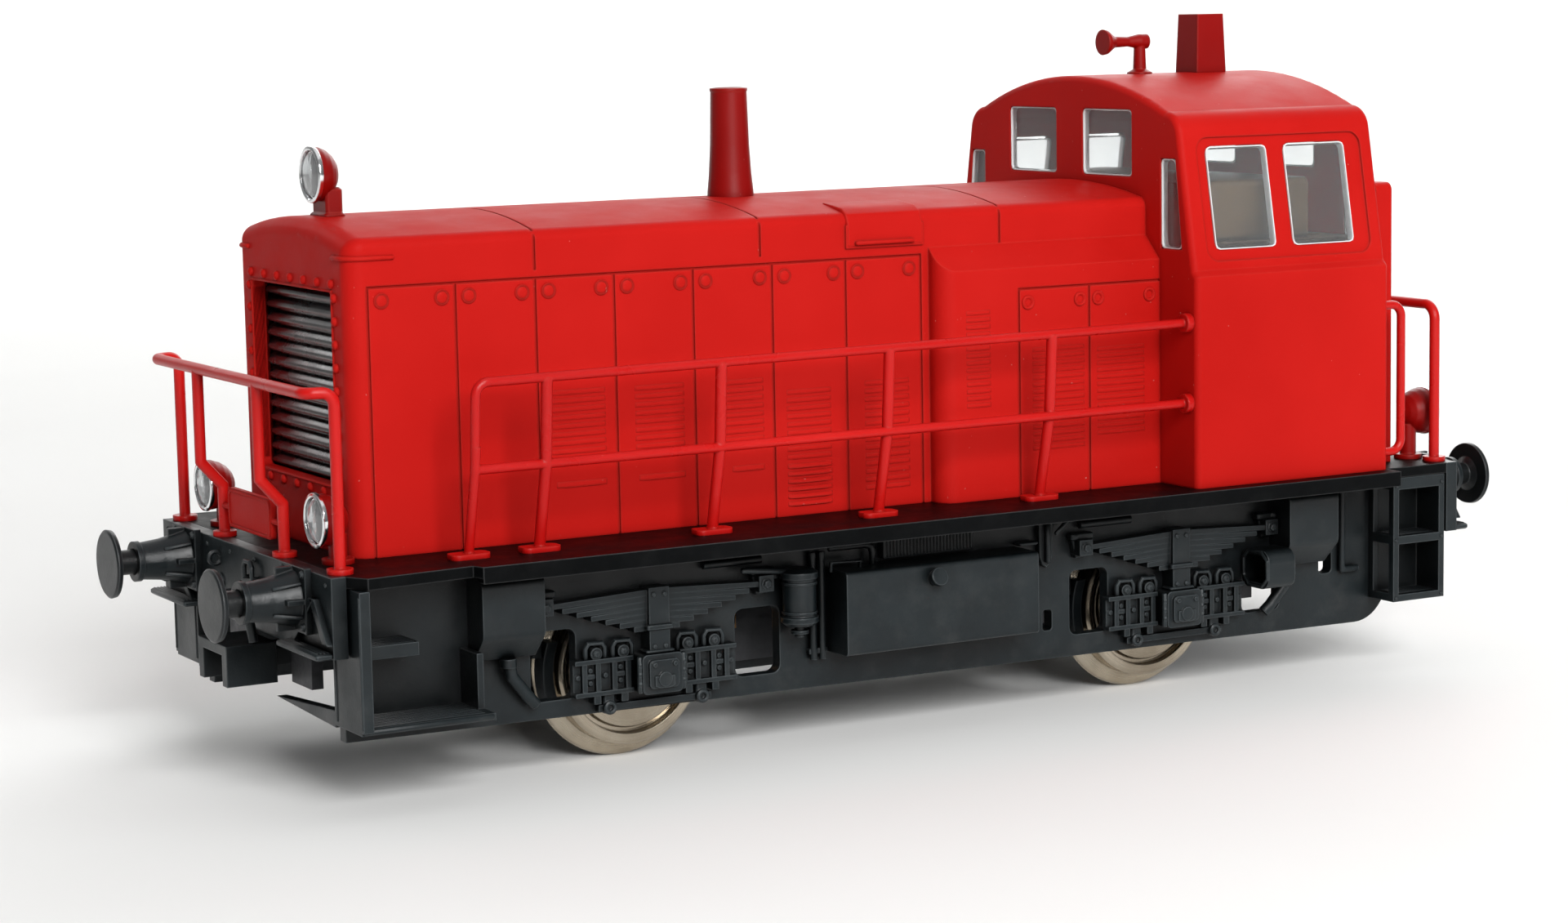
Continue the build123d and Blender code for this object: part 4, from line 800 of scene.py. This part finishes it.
def end_fittings():
    """Buffer mounts, a small moulded hose loop, an eye, collars and rivets on each beam."""
    parts = Piece("beam_fittings", BLACK, "frame_black")
    hose = [(0.5, 1.35, 12.7), (0, 1.35, 12.75), (0, 1.35, 13.45), (0, 1.65, 13.8)]
    hose += [(0, 2.5, 13.8), (0, 2.8, 13.45), (0, 2.8, 12.75), (0.5, 2.8, 12.7)]
    for way in SIDES:
        for side in SIDES:
            buffer_mount(parts, way, side)
        face = way * (BEAM + 0.42)
        parts.bar([(face - way * back, way * y, z) for back, y, z in hose], 0.17, 10)
        parts.ring((way * (BEAM + 0.3), way * -4.4, 13.2), (0, 1, 0), EYE, 18)
        for y in (-4.2, 4.2):
            parts.ring((way * BEAM, y, 11.6), (way, 0, 0), COLLAR, 20)
        for y in (-14.6, -6.6, -2.2, 2.2, 6.6, 14.6):
            for z in (10.1, 13.9) if abs(y) < 7 else (13.9,):
                parts.turned((way * BEAM, y, z), (way, 0, 0), dome(0.17, 0.12), 12)
    parts.done()


def step_treads():
    """Ribs on the treads, beads on the corner posts and rivets on the rear step boxes."""
    treads = Piece("step_treads", BLACK, "frame_black")
    outside = span("front_step_boxes")[1].y - 0.14
    for side in SIDES:
        for rib in range(9):
            y = side * (13.0 + rib * 0.44)
            treads.bar([(35.4, y, 5.01), (43.0, y, 5.01)], 0.07, 6)
        for rib in range(5):
            y = side * (13.1 + rib * 0.5)
            treads.bar([(39.5, y, 9.86), (43.0, y, 9.86)], 0.07, 6)
        treads.bar([(34.95, side * 16.88, 4.78), (43.7, side * 16.88, 4.78)], 0.2, 10)
        for x in (43.3, 43.85):
            treads.bar([(x, side * outside, 5.0), (x, side * outside, 13.3)], 0.13, 8)
        treads.bar([(43.85, side * 12.9, 4.9), (43.85, side * 12.9, 8.9)], 0.13, 8)
        for base in (4.92, 9.32):
            for rib in range(5):
                y = side * (13.2 + rib * 0.4)
                treads.bar([(-43.3, y, base), (-39.7, y, base)], 0.06, 6)
        for x in (-43.65, -39.35):
            for z in (4.65, 9.0, 13.1):
                treads.turned((x, side * 15.45, z), (0, side, 0), dome(0.15, 0.1), 12)
    treads.done()


# ---------------------------------------------------------------- underframe
SPRING_EYE = 8.2                 # from the axle to each end of its spring
GUIDE_STAPLES = (2.4, 4.4)
GUIDE_BOLTS = ((2.6, 6.2), (2.6, 5.3), (3.7, 5.75), (4.8, 6.15), (4.8, 5.3), (5.7, 5.75))
BRAKE_EYE = [(-0.05, 0.2), (0.16, 0.22), (0.2, 0.34), (0.14, 0.46), (-0.05, 0.48)]


def spring_end(gear, side, axle, way):
    """The hanger, bracket and bolts at one end of a spring."""
    face, out = side * PLATE, (0, side, 0)
    eye = axle + way * SPRING_EYE
    gear.block(eye - 1.0, eye + 0.9, face, face + side * 0.75, 11.25, 11.75, 0.1)
    hanger = [(eye - 0.75, 11.3), (eye + 0.75, 11.3), (eye + 0.45, 9.95), (eye - 0.45, 9.95)]
    gear.prism(hanger, "Y", face, face + side * 0.55, 0.08)
    gear.bolt((eye, face + side * 1.25, 10.75), out, 0.3, 0.25)
    gear.bolt((eye + way * 0.55, face + side * 0.75, 11.5), out, 0.16, 0.15)


def guide_fittings(gear, side, axle, way):
    """Staples, bolts, pads and a brake eye on the guide at one side of an axle box."""
    face, out = side * PLATE, (0, side, 0)
    for offset in GUIDE_STAPLES:
        x = axle + way * offset
        arch = [
            (x - 0.7, 6.9), (x - 0.7, 7.6), (x - 0.5, 7.92),
            (x + 0.5, 7.92), (x + 0.7, 7.6), (x + 0.7, 6.9),
        ]
        gear.bar([(a, face + side * 0.5, b) for a, b in arch], 0.18, 8)
        gear.bolt((x, face + side * 0.75, 7.25), out, 0.2, 0.14)
    for offset, z in GUIDE_BOLTS:
        gear.bolt((axle + way * offset, face + side * 0.43, z), out, 0.2, 0.22)
    for offset in (2.6, 4.8):
        x = axle + way * offset
        gear.block(x - 0.32, x + 0.32, face + side * 0.4, face + side * 0.7, 5.55, 5.95, 0.06)
    lug = axle + way * 3.45
    gear.block(lug - 0.42, lug + 0.42, face, face + side * 0.62, 3.15, 4.6, 0.1)
    gear.ring((lug, face + side * 0.62, 3.55), out, BRAKE_EYE, 20)
    x = axle + way * 1.62
    gear.bar([(x, face + side * 1.5, 4.5), (x, face + side * 1.5, 6.8)], 0.2, 8)
    for z in (5.0, 5.65, 6.3):
        gear.turned((x, face + side * 1.62, z), out, dome(0.14, 0.1), 10)


def box_fittings(gear, side, axle):
    """Buckle bolts, bands and the lid of one axle box."""
    face, out = side * PLATE, (0, side, 0)
    for dx in (-0.45, 0.45):
        for z in (7.4, 10.9):
            gear.bolt((axle + dx * 0.9, face + side * 1.35, z), out, 0.14, 0.12)
    front = face + side * 1.1
    gear.block(axle - 0.95, axle + 0.95, front, face + side * 1.5, 8.5, 8.9, 0.08)
    front = face + side * 0.3
    gear.block(axle - 1.05, axle + 1.05, front, face + side * 1.45, 6.95, 7.2, 0.08)
    lid = [(-0.75, 5.55), (0.75, 5.55), (0.75, 4.85), (0.4, 4.7), (-0.4, 4.7), (-0.75, 4.85)]
    outline = [(axle + a, b) for a, b in lid]
    gear.prism(outline, "Y", face + side * 1.9, face + side * 2.05, 0.06)


def spring_gear():
    """The small fittings round each axle box and spring."""
    gear = Piece("spring_gear", BLACK, "frame_black")
    for side in SIDES:
        for axle in AXLES:
            for way in SIDES:
                spring_end(gear, side, axle, way)
                guide_fittings(gear, side, axle, way)
            box_fittings(gear, side, axle)
    gear.done()


def tank_fittings():
    """The ribbed strip over each tank, its staple, strap hook, pipes and cylinder lugs."""
    fit = Piece("tank_fittings", BLACK, "frame_black")
    drum = 10.7                  # x of the upright brake cylinder
    clamp = [(-0.09, 1.14), (-0.09, 1.22), (0.09, 1.22), (0.09, 1.14)]
    gland = [(-0.12, 0.34), (-0.12, 0.62), (0.12, 0.62), (0.12, 0.34)]
    staple = [(8.2, 11.1), (8.2, 11.65), (5.9, 11.65), (5.9, 11.1)]
    elbow = [(8.0, 12.6), (5.2, 12.6), (4.75, 12.45), (4.6, 12.1), (4.6, 11.2)]
    strap = [
        (-9.25, 12.9), (-10.4, 12.9), (-10.4, 10.3), (-10.15, 9.75),
        (-9.85, 9.5), (-9.5, 9.75), (-9.25, 10.3),
    ]
    cup_x = -27.3                # mouth of the open rear cylinder
    mouth = (
        (0.3, 7.3), (0.3, 8.6), (0.95, 9.2), (2.45, 9.2), (3.15, 8.6),
        (3.15, 7.3), (2.45, 6.65), (0.95, 6.65), (0.3, 7.3),
    )
    for side in SIDES:
        face = side * PLATE
        near = face + side * 0.85
        fit.block(-3.5, 3.75, face, near, 11.45, 12.95, 0.05)
        for rib in range(26):
            x = -3.3 + rib * 0.27
            fit.block(x - 0.06, x + 0.06, near, near + side * 0.14, 11.6, 12.9, 0.03)
        fit.bar([(a, face + side * 1.3, b) for a, b in staple], 0.15, 8)
        fit.bar([(a, face + side * 0.75, b) for a, b in elbow], 0.24, 10)
        fit.block(-8.9, -7.3, face, face + side * 0.95, 11.3, 11.55, 0.08)
        fit.prism(strap, "Y", face, face + side * 0.5, 0.08)
        fit.bar([(-9.85, face + side * 0.65, 12.6), (-9.85, face + side * 0.65, 10.0)], 0.24, 10)
        fit.bar([(-10.6, face + side * 0.6, 11.9), (-11.8, face + side * 0.6, 12.9)], 0.16, 8)
        for z in (8.6, 10.6):
            fit.ring((drum, face + side * 1.3, z), (0, 0, 1), clamp, 28)
        fit.block(drum - 1.6, drum + 1.6, face, face + side * 0.5, 10.9, 11.3, 0.08)
        for dx in (-1.35, 1.35):
            fit.bolt((drum + dx, face + side * 0.5, 11.1), (0, side, 0), 0.18, 0.14)
        fit.ring((drum, face + side * 1.3, 7.25), (0, 0, 1), gland, 18)
        fit.bar([(drum + 0.9, face + side * 1.2, 11.45), (14.9, face + side * 1.0, 11.75)], 0.2, 8)
        fit.bar([(cup_x, face + side * a, b) for a, b in mouth], 0.15, 8)
    fit.done()


def solebar_beads():
    """A rolled bead along the top and bottom edge of each solebar."""
    beads = Piece("solebar_beads", BLACK, "frame_black")
    front, rear = 35.2, DECK_LOW.x + 6.2
    for side in SIDES:
        y = side * (DECK_HIGH.y - 0.15)
        for z, size in ((DECK - 0.13, 0.13), (DECK_LOW.z + 0.12, 0.12)):
            beads.bar([(front, y, z), (rear, y, z)], size, 10)
    beads.done()


def rear_locker():
    """Hinged doors, louvres and handles on the locker behind the cab."""
    back = -41.2                 # rear face of the locker
    doors = Piece("locker_doors", RED, "shell_red")
    for side in SIDES:
        doors.block(back - 0.12, back + 0.1, side * 0.25, side * 11.4, 16.2, 33.6, 0.1)
        hinge, pull = side * 11.5, side * 1.3
        for z in (18.4, 31.4):
            doors.bar([(back - 0.2, hinge, z - 0.8), (back - 0.2, hinge, z + 0.8)], 0.26, 12)
        doors.bar([(back - 0.35, pull, 24.0), (back - 0.35, pull, 26.4)], 0.2, 10)
        for z in (24.1, 26.3):
            doors.bar([(back - 0.4, pull, z), (back, pull, z)], 0.13, 8)
        z = 30.8
        while z > 27.6:
            rows = []
            for k in range(5):
                y = side * (3.4 + k * 1.35)
                tip = 0.0 if k in (0, 4) else 0.22
                rows.append([
                    (back - 0.1, y, z), (back - 0.14 - tip * 0.5, y, z - 0.2),
                    (back - 0.14 - tip, y, z - 0.38), (back - 0.05, y, z - 0.38),
                ])
            doors.skin(rows)
            z -= 0.62
    doors.done()


for make in (
    hood_studs, hood_louvres, nose_fittings, shoulder_hatch, window_mouldings, lamp_fronts,
    plate_rims, end_fittings, step_treads, spring_gear, tank_fittings, solebar_beads, rear_locker,
):
    make()


# ---------------------------------------------------------------- camera, light, floor (metres)
def stand():
    """A plain pale floor that curves up behind the locomotive."""
    bm = bmesh.new()
    steps, bend = 8, 0.5
    rows = []
    for i in range(steps + 1):
        turn = math.radians(90 * i / steps)
        rows.append((0.75 + bend * math.sin(turn), bend * (1 - math.cos(turn))))
    rows = [(-2.0, 0.0)] + rows + [(1.25, 2.4)]
    away = Vector((-0.489, -0.872, 0))       # from the camera's side towards the far side
    across = Vector((0.872, -0.489, 0))
    grid = []
    for reach, height in rows:
        line = [away * reach + across * s + Vector((0, 0, height)) for s in (-3, -1, 0, 1, 3)]
        grid.append([bm.verts.new(p) for p in line])
    for low, high in zip(grid, grid[1:]):
        for i in range(4):
            bm.faces.new((low[i], low[i + 1], high[i + 1], high[i]))
    mesh = bpy.data.meshes.new("floor")
    bm.to_mesh(mesh)
    bm.free()
    for face in mesh.polygons:
        face.use_smooth = True
    obj = bpy.data.objects.new("floor", mesh)
    bpy.context.scene.collection.objects.link(obj)
    n = Nodes("floor_paper", {"IOR": 1.3, "Roughness": 0.9})
    paper = [(0.3, (0.80, 0.80, 0.79)), (0.7, (0.84, 0.84, 0.83))]
    n.set("Base Color", n.ramp(n.noise(6, 3), paper))
    n.set("Normal", n.bump(n.noise(900, 2), 0.03, 0.0002))
    mesh.materials.append(n.mat)


def light(name, place, target, size, power):
    """A soft white panel that faces a target."""
    data = bpy.data.lights.new(name, "AREA")
    data.shape = "RECTANGLE"
    data.size, data.size_y = size
    data.energy = power
    obj = bpy.data.objects.new(name, data)
    bpy.context.scene.collection.objects.link(obj)
    obj.location = place
    aim = Vector(target) - Vector(place)
    obj.rotation_euler = aim.to_track_quat("-Z", "Y").to_euler()


def studio():
    """Soft white surroundings, brighter overhead than at the horizon."""
    world = bpy.data.worlds.new("studio")
    world.use_nodes = True
    tree = world.node_tree
    where = tree.nodes.new("ShaderNodeTexCoord").outputs["Generated"]
    split = tree.nodes.new("ShaderNodeSeparateXYZ")
    tree.links.new(where, split.inputs[0])
    height = tree.nodes.new("ShaderNodeMapRange")
    for key, value in (("From Min", 0.0), ("From Max", 0.9), ("To Min", 0.13), ("To Max", 0.34)):
        height.inputs[key].default_value = value
    tree.links.new(split.outputs["Z"], height.inputs["Value"])
    tree.links.new(height.outputs[0], tree.nodes["Background"].inputs[1])
    tree.nodes["Background"].inputs[0].default_value = (1, 1, 1, 1)
    bpy.context.scene.world = world


def camera():
    """A long lens from the front left, about as high as the roof."""
    azimuth, pitch, roll = (math.radians(a) for a in (29.322, 7.529, -1.080))
    distance, aside, lift = 247.778, -3.4356, -3.4023        # mm
    level = math.cos(pitch)
    back = Vector((math.sin(azimuth) * level, math.cos(azimuth) * level, math.sin(pitch)))
    right = (-back).cross(Vector((0, 0, 1))).normalized()
    up = right.cross(-back)
    x_axis = right * math.cos(roll) + up * math.sin(roll)
    y_axis = -right * math.sin(roll) + up * math.cos(roll)
    place = at(0, 0, 20) + (back * distance + right * aside + up * lift) * MM
    data = bpy.data.cameras.new("camera")
    data.sensor_width = 36
    data.lens = 78.89
    data.clip_start = 0.01
    data.clip_end = 20
    obj = bpy.data.objects.new("camera", data)
    turn = Matrix((x_axis, y_axis, back)).transposed().to_4x4()
    obj.matrix_world = Matrix.Translation(place) @ turn
    bpy.context.scene.collection.objects.link(obj)
    bpy.context.scene.camera = obj


MODEL = (0, 0, 0.02)             # near the middle of the model, where three lights aim

stand()
camera()
light("key", (0.10, 0.66, 0.36), MODEL, (0.35, 0.35), 6.9)
light("top", (-0.1, -0.05, 0.75), MODEL, (0.8, 0.6), 0.82)
light("backdrop", (-0.35, -0.55, 0.9), (-0.8, -1.3, 0.35), (0.8, 0.3), 10)
light("grille_glint", (0.22, -0.75, 0.38), (0.035, 0, 0.025), (0.25, 0.12), 0.35)
light("rear_fill", (-0.5, -0.35, 0.35), MODEL, (0.5, 0.5), 2.0)
studio()
bpy.context.scene.view_settings.view_transform = "Standard"
